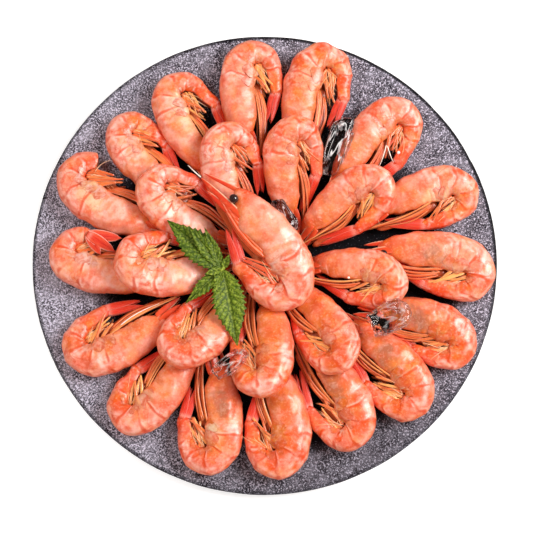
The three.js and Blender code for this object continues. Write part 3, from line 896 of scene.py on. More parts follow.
def swimmeretParts(shrimp, rng, hand, seed):
    # Blades spread from the first to the last, pushed out halfway by a sine
    look = swimmeretLook
    parts = []
    share = np.linspace(0, 1, look["count"])[:, None]
    first, last, bulge = (np.array(look[k]) for k in ("first", "last", "bulge"))
    blades = first + (last - first) * share + bulge * np.sin(math.pi * share)
    for i, (x, y, way, length) in enumerate(blades):
        root = np.array([x, y, hand * (look["height"] + look["step"] * i)])
        way = math.radians(way + rng.normal(0, 8))
        length *= rng.uniform(0.7, 1.1)
        along = pointing(way, 0.02 * hand)
        aside = pointing(way + math.pi / 2) * rng.normal(0.3, 0.6)
        rise = np.array([0, 0, hand * rng.uniform(0.2, 1.1)])
        control = [root, root + along * length * 0.4 + aside + rise,
                   root + along * length * 0.75 + aside * 0.5 + rise, root + along * length]
        thick = look["thick"] * rng.uniform(0.75, 1.25)
        redness = min(1, 0.6 * rng.random() ** 1.5 + shrimp.get("redder", 0))
        lean = (0, 1, -0.3 * hand)
        parts.append(limb(control, thick, look["wide"], lean, redness, seed + 20 + i, 16, 0.45))
    return parts


def limbParts(shrimp, seed):
    # Linings and bristles, then legs and swimmerets of each side; all draw from one sequence
    rng = np.random.default_rng(seed)
    parts = liningParts(seed) + hairParts(rng, seed)
    for hand in (-1, 1):
        parts += legParts(shrimp, rng, hand, seed) + swimmeretParts(shrimp, rng, hand, seed)
    return parts


def bladeGrid(root, along, across, length, halfWidth, thick, tipSharp, ridge):
    # A leaf-shaped blade: a lens section whose width follows a power of a sine, ridged lengthwise
    t, angle = gridOf(np.linspace(0, 1, 22), 20)
    width = halfWidth * (0.12 + 0.88 * np.sin(math.pi * np.clip(t * 0.93 + 0.07, 0, 1) ** tipSharp) ** 0.7)
    width *= np.clip((1.002 - t) * 6, 0, 1) ** 0.6
    normal = np.cross(along, across)
    cut = np.cos(angle)
    height = thick * np.sin(angle) * (1 - ridge * np.cos(cut * math.pi * 3)) * (0.4 + 0.6 * (1 - t))
    height = height * np.clip((1.002 - t) * 8, 0, 1) ** 0.5
    points = (root + along * (t * length)[..., None] + across * (width * cut)[..., None]
              + normal * height[..., None])
    return points, t, cut


flankLook = {
    # flap of each plate of the abdomen: half its length along the body, how deep it hangs as a share
    # of the belly, how far it stands proud, how dark its rim is, its colour and how strong that is.
    # The second lies over its neighbours
    "flaps": [
        (3.4, 1.04, 0.1, 0.45, "amber", 0.3),
        (5.4, 1.14, 0.22, 0.45, "cream", 0.45),
        (4.4, 1.04, 0.06, 0.15, "amber", 0.3),
        (3.2, 1.0, 0.01, 0.15, "amber", 0.3),
        (2.6, 0.96, -0.01, 0.15, "amber", 0.3),
    ],
    "from": 0.25,
    "thick": 0.13,
}


def flankParts(shrimp, seed):
    # A flap follows the flank: its rows spread by an oval's width, its depth runs from a quarter of
    # the belly to past the edge, and it stands a little proud
    path = bodyPath(shrimp)
    end = shrimp.get("brokenAt", bodyEnd)
    # Painted light, partly the flaps' own paleness: they are drawn paler by the same share as the body
    milk = milkOf(shrimp)
    parts = []
    t, angle = gridOf(np.linspace(0, 1, 24), 24)
    cut, face = np.cos(angle), np.sin(angle)
    oval = np.sin(math.pi * (0.04 + 0.93 * t) ** 1.25) ** 0.6
    oval = oval * (1 + 0.16 * unevenness(t * 6, cut * 4, 4, seed + 50))
    thin = flankLook["thick"] * face * (1 - 0.7 * cut ** 2) * np.sin(math.pi * (0.03 + 0.94 * t)) ** 0.5
    for hand in (-1, 1):
        for i, (half, deep, proud, rim, shade, much) in enumerate(flankLook["flaps"]):
            middle = (seams[i] + seams[i + 1]) / 2 + 0.4
            if middle > end - 3:
                continue
            row = middle + half * oval * cut + 0.8 * t
            share = flankLook["from"] + (deep - flankLook["from"]) * t
            belly, side = shapeAt(row)[1:]
            turn = np.cos(np.arcsin(np.minimum(share, 1) ** (1 / 0.95)))
            edge = anatomy["bellyShare"]
            out = side * ((1 - edge) * np.clip(turn, 0, 1) ** 0.8 + edge) + proud * ramp(t, 0, 0.3) + thin
            x, y, heading = path(row)
            up = -belly * share
            points = np.stack([x - np.sin(heading) * up, y + np.cos(heading) * up, hand * out], -1)
            drift = unevenness(t * 8, cut * 5, 7, seed + 30 + i)
            fleck = unevenness(t * 9, cut * 6, 3, seed + 40 + i)
            warmth = shrimp["cream"] if shade == "cream" else 1
            tint = layered(shellColours, "salmon", [
                ("orange", 0.5 * ramp(drift, -0.5, 1)),
                (shade, much * warmth * ramp(t + 0.12 * fleck, 0.2, 0.7)),
                ("pale", 0.7 * milk * (0.3 + 0.7 * ramp(fleck + 0.6 * drift, -0.6, 0.7))),
                ("seam", rim * ramp(np.abs(cut) + 0.04 * fleck, 0.88, 0.97) * ramp(t, 0.1, 0.3)),
            ], t)
            lines = np.full(t.shape + (1,), 0.5)
            parts.append((points, np.concatenate([tint, lines], -1), acrossUv(t, cut)))
    return parts


def fanBlade(root, way, across, length, halfWidth, thick, rim, seed, sharp):
    # One blade of the tail fan, crimson with pale rims and a pale foot
    points, t, cut = bladeGrid(root, way, across, length, halfWidth, thick, sharp, 0.3)
    tint = layered(shellColours, "crimson", [
        ("pink", 0.4 * ramp(rim, 0.5, 0.9) * ramp(np.abs(cut), 0.1, 0.6)),
        ("salmon", 0.5 * (1 - ramp(t, 0.0, 0.25))),
        ("orange", 0.35 * ramp(unevenness(cut * 3, t * 2, 2, seed), 0, 1.2)),
        ("pale", rim * ramp(np.abs(cut), 0.8, 0.98) + 0.4 * hump(t, 0.1, 0.06)),
    ], t)
    return points, tint, acrossUv(t, cut)


fanLook = {
    "closed": [
        # turn in the body's plane, offset to the back, offset sideways, length, half width
        (0, 0.6, 0.0, 16.5, 1.3),
        (-1, -0.9, 1.5, 18.0, 1.75),
        (2, 1.0, 2.0, 17.0, 1.6),
        (-1, -0.9, -1.5, 18.0, 1.75),
        (2, 1.0, -2.0, 17.0, 1.6),
    ],
    "open": [
        # direction in the shrimp's frame, length, half width, height of its root
        (176, 15.8, 2.7, 4.6),
        (150, 15.2, 2.6, 5.2),
        (126, 11.5, 2.3, 4.8),
    ],
    "openRoot": (5.6, -18.4),
    "openThick": 0.4,
    "thick": 0.6,
}


def fanParts(shrimp, seed):
    # Telson and uropods from the end of the sixth segment, folded together or spread
    rng = np.random.default_rng(seed)
    path = bodyPath(shrimp)
    parts = []
    if shrimp.get("openFan"):
        for turn, length, halfWidth, height in fanLook["open"]:
            way = math.radians(turn)
            root = np.array([*fanLook["openRoot"], height])
            parts.append(fanBlade(root, pointing(way), pointing(way + math.pi / 2, 0.12), length, halfWidth,
                                  fanLook["openThick"], 1.0, seed, 0.75))
        return parts
    x, y, _ = path(bodyEnd - 0.6)
    heading = path(bodyEnd + 3.5)[2]
    for turn, toBack, sideways, length, halfWidth in fanLook["closed"]:
        way = heading + math.radians(turn + rng.normal(0, 1.2))
        along = pointing(way, -0.05 * np.sign(sideways))
        across = pointing(way + math.pi / 2, -0.22 * np.sign(sideways * toBack))
        if sideways == 0:
            across = across * 0.8 + (0, 0, 0.6)
        along, across = along / np.linalg.norm(along), across / np.linalg.norm(across)
        root = np.array([x - math.sin(heading) * toBack, y + math.cos(heading) * toBack, sideways])
        parts.append(fanBlade(root, along, across, length * shrimp["tail"], halfWidth, fanLook["thick"],
                              0.3, seed, 0.55))
    return parts


def ballPart(middle, radius, stretch, colour):
    # Sine and cosine of two angles times the radius, stretched along each axis
    polar, turn = gridOf(np.linspace(0.08, math.pi - 0.08, 14), 20)
    unit = np.stack([np.sin(polar) * np.cos(turn), np.sin(polar) * np.sin(turn), np.cos(polar)], -1)
    points = np.array(middle) + unit * radius * np.array(stretch)
    return points, np.broadcast_to(colour, points.shape), np.stack([polar / math.pi, turn / math.tau], -1)


headLook = {
    # where the left eye sits: proud of the head, or tucked under the scales beside it
    "eyeOut": (-24.5, -2.2, 3.3),
    "eyeTucked": (-23.0, -1.2, 1.6),
    # root and tip of each left scale, half its width, redness and lean; the long ones lie bare
    "scales": [
        ((-20.5, -0.4, 3.2), (-32.5, -1.4, 3.4), 1.9, 0.6, -0.5),
        ((-20.5, -3.4, 3.0), (-34.0, -4.6, 2.4), 1.5, 0.8, -0.3),
    ],
    "longScales": [
        ((-16, -4.6, 3.4), (-39.4, -5.9, 2.2), 1.35, 0.8, 0),
        ((-17, -6.6, 3.0), (-34, -7.6, 2.0), 1.3, 0.9, 0),
    ],
}


def eyeParts(shrimp):
    # Both eyes, each a slightly flattened ball
    x, y, z = headLook["eyeOut" if shrimp.get("eyes") else "eyeTucked"]
    return [ballPart((x, y, hand * z), anatomy["eyeRadius"], (1.05, 1, 0.95), (1, 1, 1)) for hand in (-1, 1)]


def scalePart(root, tip, half, red, way=(0, 1, 0)):
    # A narrow blade from root to tip with a pale upper edge, partly its own colour and partly a painted
    # highlight
    root, tip, way = (np.array(v, float) for v in (root, tip, way))
    length = np.linalg.norm(tip - root)
    along = (tip - root) / length
    across = way - along * (along @ way)
    points, t, cut = bladeGrid(root, along, across / np.linalg.norm(across), length, half, 0.55, 0.6, 0.2)
    tint = layered(limbColours, "orange", [
        ("red", red * ramp(t, -0.4, 0.6)),
        ("edge", 0.9 * ramp(cut, 0.55, 0.9)),
    ], t)
    return points, tint, acrossUv(t, cut)


def rostrumPart(shrimp, x, y):
    # A blade forwards from the front of the carapace, toothed along the upper edge and drooping
    snout = shrimp.get("rostrum", 1.0) * (anatomy["rostrum"] + 2)
    root, along, across = (np.array(v, float) for v in ((x + 1, y + 2.2, 0), (-1, 0, 0), (0, 1, 0)))
    points, t, cut = bladeGrid(root, along, across, snout, 1.0, 0.5, 0.6, 0.0)
    teeth = 0.35 * np.abs(np.sin(t * math.pi * 8)) ** 3 * ramp(cut, 0.6, 1) * (1 - t)
    points = points + np.stack([0 * t, teeth - shrimp.get("droop", 1.2) * t, 0 * t], -1)
    # its pale upper edge is partly its own colour and partly a painted highlight
    tint = layered(limbColours, "orange", [
        ("red", 0.8 * ramp(t, 0, 0.6)),
        ("edge", 0.6 * ramp(cut, 0.5, 0.9)),
    ], t)
    return points, tint, acrossUv(t, cut)


def headParts(shrimp, seed):
    # Rostrum, the scales beside it and the stalks of the eyes, then feelers and beads where they show
    white = limbColours["white"]
    x, y, _ = bodyPath(shrimp)(1.0)
    parts = [rostrumPart(shrimp, x, y)]
    ex, ey, ez = headLook["eyeOut" if shrimp.get("eyes") else "eyeTucked"]
    for hand in (-1, 1):
        sided = np.array([1, 1, hand])
        for root, tip, half, red, lean in headLook["longScales" if shrimp.get("head") else "scales"]:
            parts.append(scalePart(sided * root, sided * tip, half, red, (0, 1, lean * hand)))
        stalk = sided * [(x + 2, y - 0.5, 1.0), (ex + 1.4, ey + 0.4, ez - 1.3), (ex, ey, ez - 0.6)]
        parts.append(limb(stalk, 1.0, 1.0, (0, 1, 0), 0.5, seed, 8, 0.1))
    for feeler in shrimp.get("feelers", []):
        grid, tint, uv = limb(feeler, 0.3, 1.0, (0, 1, 0), 0.2, seed, 20, 0.6)
        parts.append((grid, np.broadcast_to(white, tint.shape), uv))
    for *middle, radius in shrimp.get("beads", []):
        parts.append(ballPart(middle, radius, (1.1, 1, 0.9), white))
    return parts


def placed(points, shrimp, height):
    # Turned about its length by roll, tipped by pitch, then headed and moved over the plate
    roll, pitch, yaw = (math.radians(shrimp.get(k, 0)) for k in ("roll", "pitch", "heading"))
    x, y, z = (points[..., i] - m for i, m in enumerate((*anatomy["bendMiddle"], 0)))
    y, z = turned(y, z, roll)
    x, z = turned(x, z, pitch)
    x, y = turned(x, y, yaw)
    bearing = math.radians(shrimp["bearing"])
    size = shrimp["size"]
    return np.stack([x * size + shrimp["reach"] * math.cos(bearing),
                     y * size + shrimp["reach"] * math.sin(bearing),
                     z * size + height], -1)


def shrimpRow(name, bearing, reach, heading, size, curl, tail, pitch, roll, liver, warm, cream, pale, **more):
    # One shrimp's values by name, with the node of its solid
    return dict(name=name, node="shrimp_" + name, bearing=bearing, reach=reach, heading=heading, size=size,
                curl=curl, tail=tail, pitch=pitch, roll=roll, liver=liver, warm=warm, cream=cream, pale=pale,
                **more)


# Bearing, reach, heading, size, curl, tail, pitch and roll, as in the solids, then how strong the
# brown patch on the carapace, the orange of the flank, its cream patch and the pale of the back are,
# the last partly the shell's own colour and partly a painted sheen.
# What only some shrimp have, in their own frame:
#   milk, redder, blush   how pale the shell, partly its own colour and mostly painted light; how red the limbs; how pale the carapace, partly its own colour and partly a painted sheen
#   marks                 start and end of a stroke of colour, its width, colour and strength; some are painted highlights
#   feelers, beads        lines of points, and a middle with a radius
#   rods, thick, legLift  number, radius and rise of the legs
#   brokenAt, openFan     where the tail is torn off, whether its fan is spread
#   head, eyes, rostrum, droop, jowl   a head that lies bare, and its proportions
shrimps = [
    shrimpRow("outer_01", 94.5, 83.5, 100, 0.95, 0.99, 0.9, 0, 5, 0.05, 0.6, 0.9, 0.7),
    shrimpRow("outer_02", 74, 85, 86, 0.98, 0.96, 0.85, 0, 4, 0.15, 0.6, 0.4, 0.8, milk=0.25),
    shrimpRow("outer_03", 47, 80, 60, 0.96, 0.97, 1.1, 0, 6, 0.0, 0.9, 0.5, 0.9, redder=0.4,
              milk=0.3,
              feelers=[[(-0.9, -10.6, 4.4), (-5.8, -12.2, 4.6), (-11.4, -12.8, 4)],
                       [(-1, -11.2, 4.6), (-4.4, -14.5, 4.8), (-6, -17.5, 3.6)]],
              beads=[(-0.9, -17.2, 3.6, 0.75)]),
    shrimpRow("outer_04", 20, 84, 28, 0.94, 1.02, 1.12, 0, 5, 0.0, 0.8, 0.8, 1.0, milk=0.4,
              marks=[(0.1, -5.9, 6.3, -11.8, 4, "cream", 0.7)]),
    shrimpRow("outer_05", -3, 85, 0, 1.03, 1.05, 1.05, 0, 3, 0.7, 0.7, 1.0, 1.1, eyes=True,
              milk=0.35,
              marks=[(-7.7, -1, -2.7, 2, 0.45, "pale", 0.7), (-5.2, -1, -0.3, -4.4, 4.4, "liver", 0.65)]),
    shrimpRow("outer_06", -24, 85, -10, 0.97, 1.05, 0.95, 0, 5, 0.75, 1.0, 0.3, 0.8,
              marks=[(-11.9, 1.3, -2.2, -3.3, 5.4, "liver", 0.65)]),
    shrimpRow("outer_07", -43, 81.5, -38, 0.98, 1.0, 1.05, 0, 4, 0.9, 0.9, 0.4, 0.7,
              marks=[(-5.9, -1.7, -0.6, -4.2, 5.0, "liver", 0.65)]),
    shrimpRow("outer_08", -63, 77, -52, 0.96, 0.97, 1.05, 0, 6, 0.6, 0.8, 0.3, 0.6,
              marks=[(-9.7, -5.1, -1.2, -5.7, 5.0, "liver", 0.65)]),
    shrimpRow("outer_09", -85.5, 80.5, -72, 1.01, 1.03, 0.9, 0, 5, 0.35, 0.9, 0.2, 0.8,
              marks=[(1.9, -9.2, 6, 0.8, 2.6, "orange", 0.8)]),
    shrimpRow("outer_10", -106, 82, -81, 0.97, 0.99, 0.88, 0, 4, 0.75, 0.8, 0.7, 0.7,
              marks=[(-9.9, -2.1, -3.8, -0.4, 4.4, "liver", 0.65), (2.7, -6.7, 7.8, -4.8, 3, "cream", 0.7)]),
    shrimpRow("outer_11", -130, 83, -120, 0.94, 1.01, 1.0, 0, 6, 0.1, 0.7, 0.7, 1.0, milk=0.4),
    shrimpRow("outer_12", -152, 81.5, -145, 0.98, 0.98, 0.95, 0, 4, 0.2, 0.9, 0.5, 1.0, rods=4,
              milk=0.5,
              feelers=[[(-5.3, -8.6, 5.2), (-11.7, -9.4, 5.6), (-18.2, -8.6, 5), (-24.7, -7, 4)]],
              marks=[(4.1, -7.7, 1.6, -0.6, 3.5, "orange", 0.7)]),
    shrimpRow("outer_13", 180, 79.5, 177, 0.95, 1.0, 0.5, 0, 5, 0.05, 0.9, 0.7, 0.7, openFan=True,
              redder=0.2),
    shrimpRow("outer_14", 157.5, 82.5, 160, 1.01, 0.93, 1.0, 0, 3, 0.0, 0.5, 0.9, 0.7, brokenAt=57.5,
              redder=0.3,
              marks=[(7.8, -3.2, 2.3, -0.6, 4, "cream", 0.6)]),
    shrimpRow("outer_15", 138, 78, 140, 0.88, 1.01, 1.08, 0, 6, 0.0, 0.6, 1.0, 0.7, redder=0.15,
              marks=[(7.3, -13.8, -1.5, -8, 4.5, "cream", 0.7)]),
    shrimpRow("outer_16", 118.5, 78.5, 124, 0.9, 0.92, 1.0, 0, 5, 0.1, 0.7, 0.9, 0.7,
              marks=[(8.3, -7.7, -5.2, -5.7, 5.5, "cream", 0.8), (-6.8, -4.6, -7.2, -4.7, 0.5, "dark", 0.8)]),
    shrimpRow("inner_01", 110, 48, 114, 0.9, 0.96, 0.87, 16, 3, 0.0, 0.8, 0.9, 1.0, redder=0.25,
              marks=[(14.1, -8.1, -3.4, -10, 4.5, "cream", 0.7)]),
    shrimpRow("inner_02", 76, 49.5, 101, 0.92, 1.02, 1.1, 16, 4, 0.0, 0.8, 0.6, 0.8, redder=0.15, milk=0.35),
    shrimpRow("inner_03", 33, 51.5, 46, 0.9, 1.0, 1.2, 15, 3, 0.1, 0.9, 0.4, 1.0, legLift=2.0, milk=0.4,
              marks=[(-11.4, 2.4, -15.7, -1.6, 0.45, "pale", 0.7),
                     (-6.8, 2.7, -6.2, 0.6, 1.8, "liver", 0.3)]),
    shrimpRow("inner_04", -12, 50, -2, 0.87, 1.02, 1.12, 15, 4, 0.15, 0.8, 0.6, 1.0, milk=0.45,
              beads=[(-5.6, -7.4, 6.2, 0.6)],
              marks=[(-17.5, -0.9, -16.3, -5.8, 0.45, "pale", 0.8)]),
    shrimpRow("inner_05", -53, 48, -44, 0.92, 1.04, 1.05, 17, 4, 0.4, 1.0, 0.8, 0.9),
    shrimpRow("inner_06", -91, 48, -80, 0.95, 1.0, 1.0, 17, 3, 0.2, 0.8, 0.3, 1.0),
    shrimpRow("inner_07", -131, 49, -124, 0.92, 1.0, 1.05, 16, 4, 0.1, 0.8, 0.6, 0.9, milk=0.3),
    # its pale mark is a painted highlight
    shrimpRow("inner_08", -175, 50.5, -168, 0.98, 0.98, 0.9, 15, 3, 0.0, 0.7, 0.8, 1.0,
              marks=[(-1.6, -4.2, -11.9, 3.3, 4.5, "pale", 0.6)]),
    # its white mark is a painted highlight
    shrimpRow("inner_09", 149, 50, 156, 0.93, 0.95, 0.9, 16, 4, 0.0, 0.6, 1.0, 1.0, redder=0.3,
              marks=[(-4.2, -1.9, -18.2, -5.4, 3, "white", 0.5)]),
    shrimpRow("middle_01", -50, 10.8, -47, 1.11, 1.0, 0.92, -6, 3, 0.05, 0.7, 0.2, 1.3, head=True,
              eyes=True, rostrum=1.7, droop=7.0, jowl=2.2, rods=3, thick=0.75, redder=0.8, blush=0.8,
              milk=0.8,
              feelers=[[(-39, -5.8, 2.2), (-42, -6.2, 1.8), (-46, -6.3, 1.2)]],
              marks=[(-20.8, -6.4, -18.6, -6.3, 0.9, "liver", 0.4)]),
]


def restHeight(shrimp, body):
    # The outer ring lies on the plate, and the others reach as high as their solids do
    low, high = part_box(shrimp["node"])
    level = placed(body, shrimp, 0)[..., 2]
    if shrimp["name"].startswith("outer"):
        return low[2] / mm - level.min()
    return high[2] / mm - level.max()


for number, shrimp in enumerate(shrimps):
    seed = 100 * number + 7
    body = bodyGrid(shrimp, seed)
    height = restHeight(shrimp, body[0])
    pieces = {
        "shell": [body] + flankParts(shrimp, seed),
        "legs": limbParts(shrimp, seed) + headParts(shrimp, seed),
        "eyes": eyeParts(shrimp),
        "tail": fanParts(shrimp, seed),
    }
    if "brokenAt" in shrimp:
        del pieces["tail"]
    for kind, parts in pieces.items():
        parts = [(placed(grid, shrimp, height), tint, uv) for grid, tint, uv in parts]
        makePiece(kind + "_" + shrimp["name"], parts, finishes[kind], shrimp["node"])
print("shrimp laid:", len(shrimps))


# Plate

plateLook = {
    "radius": 100.9,
    "foot": 2.5,
    "footRise": 1.75,
    "lean": 0.4,
    "bevel": 1.3,
    "chip": 0.3,
    "relief": 0.07,
    "cast": np.array([1.0, 0.97, 1.0]),
}


def plateTint(r, turn, top):
    # Painted shade and light: dark and smooth under the shrimp, where their shadows fall, grey and
    # speckled outside their ring, with a painted shadow on the lip and the wall, and brighter towards
    # the right and darker towards the bottom as the light falls. The zones are ramps over the radius and
    # over the cosine of the angle to a side. The alpha is how crowded the specks are, fewer in the shade
    # painted light: brighter towards the right and darker towards the bottom, with more specks towards the
    # left
    left = ramp(np.cos(turn - math.radians(192)), -0.2, 1)
    right = ramp(np.cos(turn - math.radians(30)), 0, 1)
    low = ramp(np.cos(turn - math.radians(285)), 0.5, 1)
    wide = np.maximum(left, ramp(np.sin(turn), -0.4, 0.6))
    bare = ramp(r, 80 - 18 * wide, 88 - 10 * wide)
    # painted shadow on the lip and the wall, strongest towards the upper right
    rimShadeStrength = 0.3 + 0.7 * ramp(np.cos(turn - math.radians(50)), 0.2, 0.9)
    lip = rimShadeStrength * ramp(r, plateLook["radius"] - 1.6, plateLook["radius"] - 1.1)
    shade = (0.35 + (0.78 + 0.17 * right - 0.35 * low) * bare) * (1 - 0.75 * lip)
    crowd = (0.75 + 0.25 * left) * bare * (1 - 0.9 * lip)
    shade = np.where(top, shade, 0.75 - 0.5 * rimShadeStrength)[..., None] * plateLook["cast"]
    return np.concatenate([shade, np.where(top, crowd, 0.9 - 0.8 * rimShadeStrength)[..., None]], -1)


def plateGrid():
    # A profile turned round the axis. The edge wanders in and out by three sines, its top bevel is
    # chipped, and the top is a little uneven
    p = plateLook
    radius = p["radius"]
    inner = radius - p["bevel"]
    profile = np.concatenate([
        np.stack([np.linspace(4, radius - p["foot"], 12), np.zeros(12)], 1),
        [(radius - p["lean"], p["footRise"]), (radius - 0.1, 3.2), (radius, 4.6)],
        [(radius, plateTop - p["bevel"]), (radius - 0.45, plateTop - 0.45), (inner, plateTop - 0.05)],
        np.stack([np.linspace(inner - 0.6, 1.2, 74), np.full(74, plateTop)], 1),
    ])
    turn = np.linspace(0, math.tau, 420, endpoint=False)
    r, turn = np.broadcast_arrays(profile[:, :1], turn[None])
    z = np.broadcast_to(profile[:, 1:], r.shape).copy()
    wander = (0.3 * np.sin(7 * turn + 0.5) + 0.4 * np.sin(23 * turn) + 0.3 * np.sin(31 * turn + 2)) / 2 - 0.5
    chips = np.clip(unevenness(turn * 40, z * 2, 3.5, 5) - 0.9, 0, 1)
    chips = chips + 0.25 * unevenness(turn * 100, z * 3, 2.2, 6)
    nearEdge = np.clip((r - radius + 12) / 12, 0, 1) ** 6
    scale = 1 + p["chip"] * (0.6 * wander - 0.35 * np.abs(chips)) * nearEdge / radius
    x, y = r * np.cos(turn), r * np.sin(turn)
    top = (z > plateTop - 0.2) & (r < radius)
    relief = unevenness(x, y, 30, 8) + 0.5 * unevenness(x, y, 7, 9) - 2.2
    z += np.where(top, np.minimum(p["relief"] * relief, 0), 0)
    points = np.stack([x * scale, y * scale, z], -1)
    return points, plateTint(r, turn, top), np.stack([r / radius, np.abs(turn / math.pi - 1)], -1)


makePiece("slatePlate", [plateGrid()], finishes["slate"], "plate")
print("plate turned")


# Ice

iceLook = {"blockiness": 0.62, "dents": 0.09, "ripples": 4.5}
icePieces = [
    dict(node="ice_1", x=31.3, y=48.5, half=(14, 6, 5.5), heading=72, tilt=12,
         streaks=0.8, tone=(0.9, 0.92, 0.96)),
    # its dark tone is painted shade: the shaded gap it lies in, seen through it
    dict(node="ice_2", x=8.7, y=17, half=(8.5, 3.6, 3.5), heading=-58, tilt=8,
         streaks=0.7, tone=(0.3, 0.26, 0.3)),
    dict(node="ice_3", x=52.5, y=-27.5, half=(10, 7, 5), heading=25, tilt=5,
         streaks=0.28, tone=(0.97, 0.95, 0.96)),
    dict(node="ice_4", x=-14.7, y=-47, half=(9, 4.2, 4), heading=38, tilt=6,
         streaks=0.5, tone=(1.0, 0.84, 0.8)),
]


def iceGrid(piece, seed):
    # A ball squared towards a block by a power of each coordinate, dented by a sine times a cosine
    polar, turn = gridOf(np.linspace(0.03, math.pi - 0.03, 48), 72)
    unit = np.stack([np.cos(polar), np.sin(polar) * np.cos(turn), np.sin(polar) * np.sin(turn)], -1)
    wave = iceLook["ripples"] * unit + seed
    dent = 1 - iceLook["dents"] * (1 + np.sin(wave[..., 0]) * np.cos(wave[..., 1]))
    dent = dent + 0.02 * unevenness(unit[..., 0] * 3, unit[..., 2] * 3, 2, seed)
    squared = np.sign(unit) * np.abs(unit) ** iceLook["blockiness"]
    points = squared * np.array(piece["half"]) * dent[..., None]
    x, y, z = (points[..., i] for i in range(3))
    x, z = turned(x, z, math.radians(piece["tilt"]))
    x, y = turned(x, y, math.radians(piece["heading"]))
    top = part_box(piece["node"])[1][2] / mm
    points = np.stack([x + piece["x"], y + piece["y"], z + top - z.max()], -1)
    tint = np.broadcast_to([*piece["tone"], piece["streaks"]], points.shape[:2] + (4,))
    return points, tint, np.stack([polar / math.pi, turn / math.tau], -1)


for number, piece in enumerate(icePieces, 1):
    makePiece("meltingIce_" + str(number), [iceGrid(piece, number)], finishes["ice"], piece["node"])
print("ice placed")


# Mint

mintJoint = (-17.8, -6.8)
leafLook = {"fold": 0.22, "belly": 0.8, "thick": 0.35, "teeth": 13, "bite": 0.24, "veins": 9, "tip": 0.4}
leafColours = {
    "green": paint("66801c"),
    "dark": paint("36520c"),
    "deep": paint("20380a"),
    "light": paint("9cae3c"),
    "vein": paint("a9b458"),
}
leaves = [
    dict(heading=-79, length=33, width=13.4, rise=2, droop=5, tone=0.75),
    dict(heading=138, length=32, width=12.6, rise=3, droop=4, tone=0.15),
    dict(heading=114, length=19, width=4.6, rise=5, droop=1, tone=0.3),
    dict(heading=-138, length=21.5, width=6.2, rise=1, droop=4, tone=0.4),
    dict(heading=-113, length=9, width=4, rise=2, droop=1, tone=0.6),
    dict(heading=129, length=23, width=6.5, rise=5, droop=2, tone=0.35),
    dict(heading=64, length=6.5, width=3.4, rise=3.4, droop=0.5, tone=0.9),
    dict(heading=-162, length=8, width=3.6, rise=3.2, droop=0.5, tone=1.0),
]


def leafGrid(leaf, seed):
    # Upper and lower face of a folded blade: half its width is a power of a sine with forward
    # teeth, side veins leave the midrib at a slant, and the blade swells between them
    look = leafLook
    t, angle = gridOf(np.linspace(0.004, 0.996, 90), 56)
    cut = np.clip(np.cos(angle) * 1.02, -1, 1)
    face = np.sign(np.sin(angle)) * (1 - np.abs(cut) ** 8) ** 0.5
    saw = (t * look["teeth"] * (leaf["length"] / 30) ** 0.5 + 0.3) % 1
    half = leaf["width"] / 2 * np.sin(math.pi * t ** look["belly"]) ** look["belly"]
    half = half * (1 - look["tip"] * ramp(t, 0.5, 1))
    half = half * (1 + look["bite"] * (saw ** 1.5 - 0.4) * np.clip(np.sin(math.pi * t) * 1.5, 0, 1))
    side = np.abs(cut)
    slant = (t - 0.26 * side * (1 - 0.4 * t)) * look["veins"] * (leaf["length"] / 30) ** 0.5
    rib = hump((slant + 0.5) % 1, 0.5, 0.1) * ramp(side, 0.02, 0.1) * (1 - ramp(side, 0.85, 1.0))
    middle = hump(side, 0, 0.07)
    quilt = np.sin(math.pi * (slant % 1)) ** 0.7 * (1 - ramp(side, 0.8, 1)) * ramp(side, 0.05, 0.3)
    height = leaf["rise"] * t - leaf["droop"] * t ** 2 + side * half * look["fold"]
    height += 0.25 * np.sin(t * 1.4 * math.tau) * cut + 0.18 * np.sin(t * 31 + seed) * side ** 2
    height += 0.6 * quilt * np.sqrt(half / 7.5) - 0.3 * middle - 0.45 + look["thick"] * face * 0.6
    shift = 0.16 * side * leaf["width"] * 0.3 * (1 - t)
    x, y = leaf["length"] * t + shift * 0.3, half * cut
    x, y = turned(x, y, math.radians(leaf["heading"]))
    points = np.stack([x + mintJoint[0], y + mintJoint[1], height], -1)
    mottled = 0.8 + 0.4 * unevenness(t * 30, cut * 8, 5, seed + 1)
    tint = layered(leafColours, "green", [
        ("dark", (1 - leaf["tone"]) * 0.7 + 0.2 * unevenness(t * 30, cut * 8, 9, seed)),
        # lighter green on the puffs, partly the leaf's own colour and partly a painted highlight
        ("light", (0.15 + 0.5 * leaf["tone"]) * quilt * mottled),
        ("deep", 0.95 * rib + 0.4 * ramp(side, 0.85, 1.0)),
        ("vein", 0.6 * middle * (1 - t)),
        ("deep", 0.7 * hump(side, 0.09, 0.05)),
    ], t)
    return points, tint, acrossUv(t, cut)


def stemPart():
    # The short cut stem that the leaves leave from
    control = np.array([(1.5, 2.5, -1.2), (0, 0, 0.2), (-1, -1, 0.6)]) + (*mintJoint, 0)
    grid, tint, uv = limb(control, 0.9, 1.1, (0, 0, 1), 0.2, 3, 14, 0.3)
    return grid, np.broadcast_to(leafColours["light"], tint.shape), uv


sprig = [leafGrid(leaf, 40 + i) for i, leaf in enumerate(leaves)] + [stemPart()]
sprigTop = max(grid[..., 2].max() for grid, tint, uv in sprig)
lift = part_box("mint")[1][2] / mm - sprigTop
makePiece("mintSprig", [(grid + (0, 0, lift), tint, uv) for grid, tint, uv in sprig],
          finishes["mint"], "mint")
print("mint placed")


# Room, lights and camera

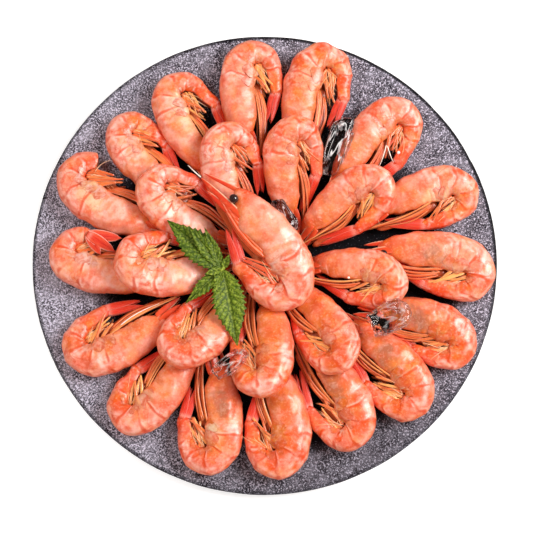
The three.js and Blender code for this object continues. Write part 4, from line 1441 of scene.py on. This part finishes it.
roomLook = {
    "floor": 3,  # half its side, in metres
    "floorTone": (0.55, 0.55, 0.55, 1),
    "floorGlow": 0.7,
    "air": (1, 0.7, 0.56, 1),
    "airStrength": 0.2,
}
lamps = [
    dict(name="key", place=(0.66, 0.16, 0.74), size=0.55, power=10.8, tone=(1, 0.985, 0.97), glints=True),
    dict(name="fill", place=(-0.6, 0.3, 0.74), size=0.6, power=4.5, tone=(1, 0.95, 0.92), glints=False),
    dict(name="front", place=(0, -0.7, 0.75), size=0.5, power=2.4, tone=(1, 0.95, 0.92), glints=False),
]


def makeFloor():
    # A pale square that glows a little and isn't mirrored in the wet shells
    side = roomLook["floor"]
    mesh = bpy.data.meshes.new("floor")
    corners = [(-side, -side, 0), (side, -side, 0), (side, side, 0), (-side, side, 0)]
    mesh.from_pydata(corners, [], [(0, 1, 2, 3)])
    floor = bpy.data.objects.new("floor", mesh)
    bpy.context.scene.collection.objects.link(floor)
    material, _, shader, _ = newMaterial("paleFloor")
    setSockets(shader, Base_Color=roomLook["floorTone"], Roughness=0.9, Emission_Color=(1, 1, 1, 1),
               Emission_Strength=roomLook["floorGlow"])
    mesh.materials.append(material)
    floor.visible_glossy = False


def makeLamp(lamp):
    # A round lamp aimed at the middle of the plate; one without glints isn't mirrored in the shells
    data = bpy.data.lights.new(lamp["name"], "AREA")
    data.shape = "DISK"
    data.size = lamp["size"]
    data.energy = lamp["power"]
    data.color = lamp["tone"]
    light = bpy.data.objects.new(lamp["name"], data)
    light.visible_glossy = lamp["glints"]
    light.location = lamp["place"]
    x, y, z = lamp["place"]
    light.rotation_euler = (math.atan2(math.hypot(x, y), z), 0, math.atan2(-y, -x) - math.pi / 2)
    bpy.context.scene.collection.objects.link(light)


makeFloor()
for lamp in lamps:
    makeLamp(lamp)
world = bpy.data.worlds.new("softRoom")
bpy.context.scene.world = world
world.use_nodes = True
setSockets(world.node_tree.nodes["Background"], Color=roomLook["air"], Strength=roomLook["airStrength"])
bpy.context.scene.view_settings.view_transform = "Standard"

# The photo is square. Its middle is where the plate's top centre lies in it, in pixels, and the
# focal length is in pixels too: those of a millimetre on the plate, times the distance in millimetres
photoSize = 533
cameraLook = {"elevation": 80.5, "distance": 0.9, "focal": 2.307 * 900, "middle": (264.7, 261.0)}
sensorWidth = 36
elevation = math.radians(cameraLook["elevation"])
cameraData = bpy.data.cameras.new("camera")
cameraData.sensor_width = sensorWidth
cameraData.lens = cameraLook["focal"] / photoSize * sensorWidth
cameraData.shift_x = (photoSize / 2 - cameraLook["middle"][0]) / photoSize
cameraData.shift_y = (cameraLook["middle"][1] - photoSize / 2) / photoSize
camera = bpy.data.objects.new("camera", cameraData)
camera.location = (0, -math.cos(elevation) * cameraLook["distance"],
                   plateTop * mm + math.sin(elevation) * cameraLook["distance"])
camera.rotation_euler = (math.pi / 2 - elevation, 0, 0)
bpy.context.scene.collection.objects.link(camera)
bpy.context.scene.camera = camera
print("camera set")
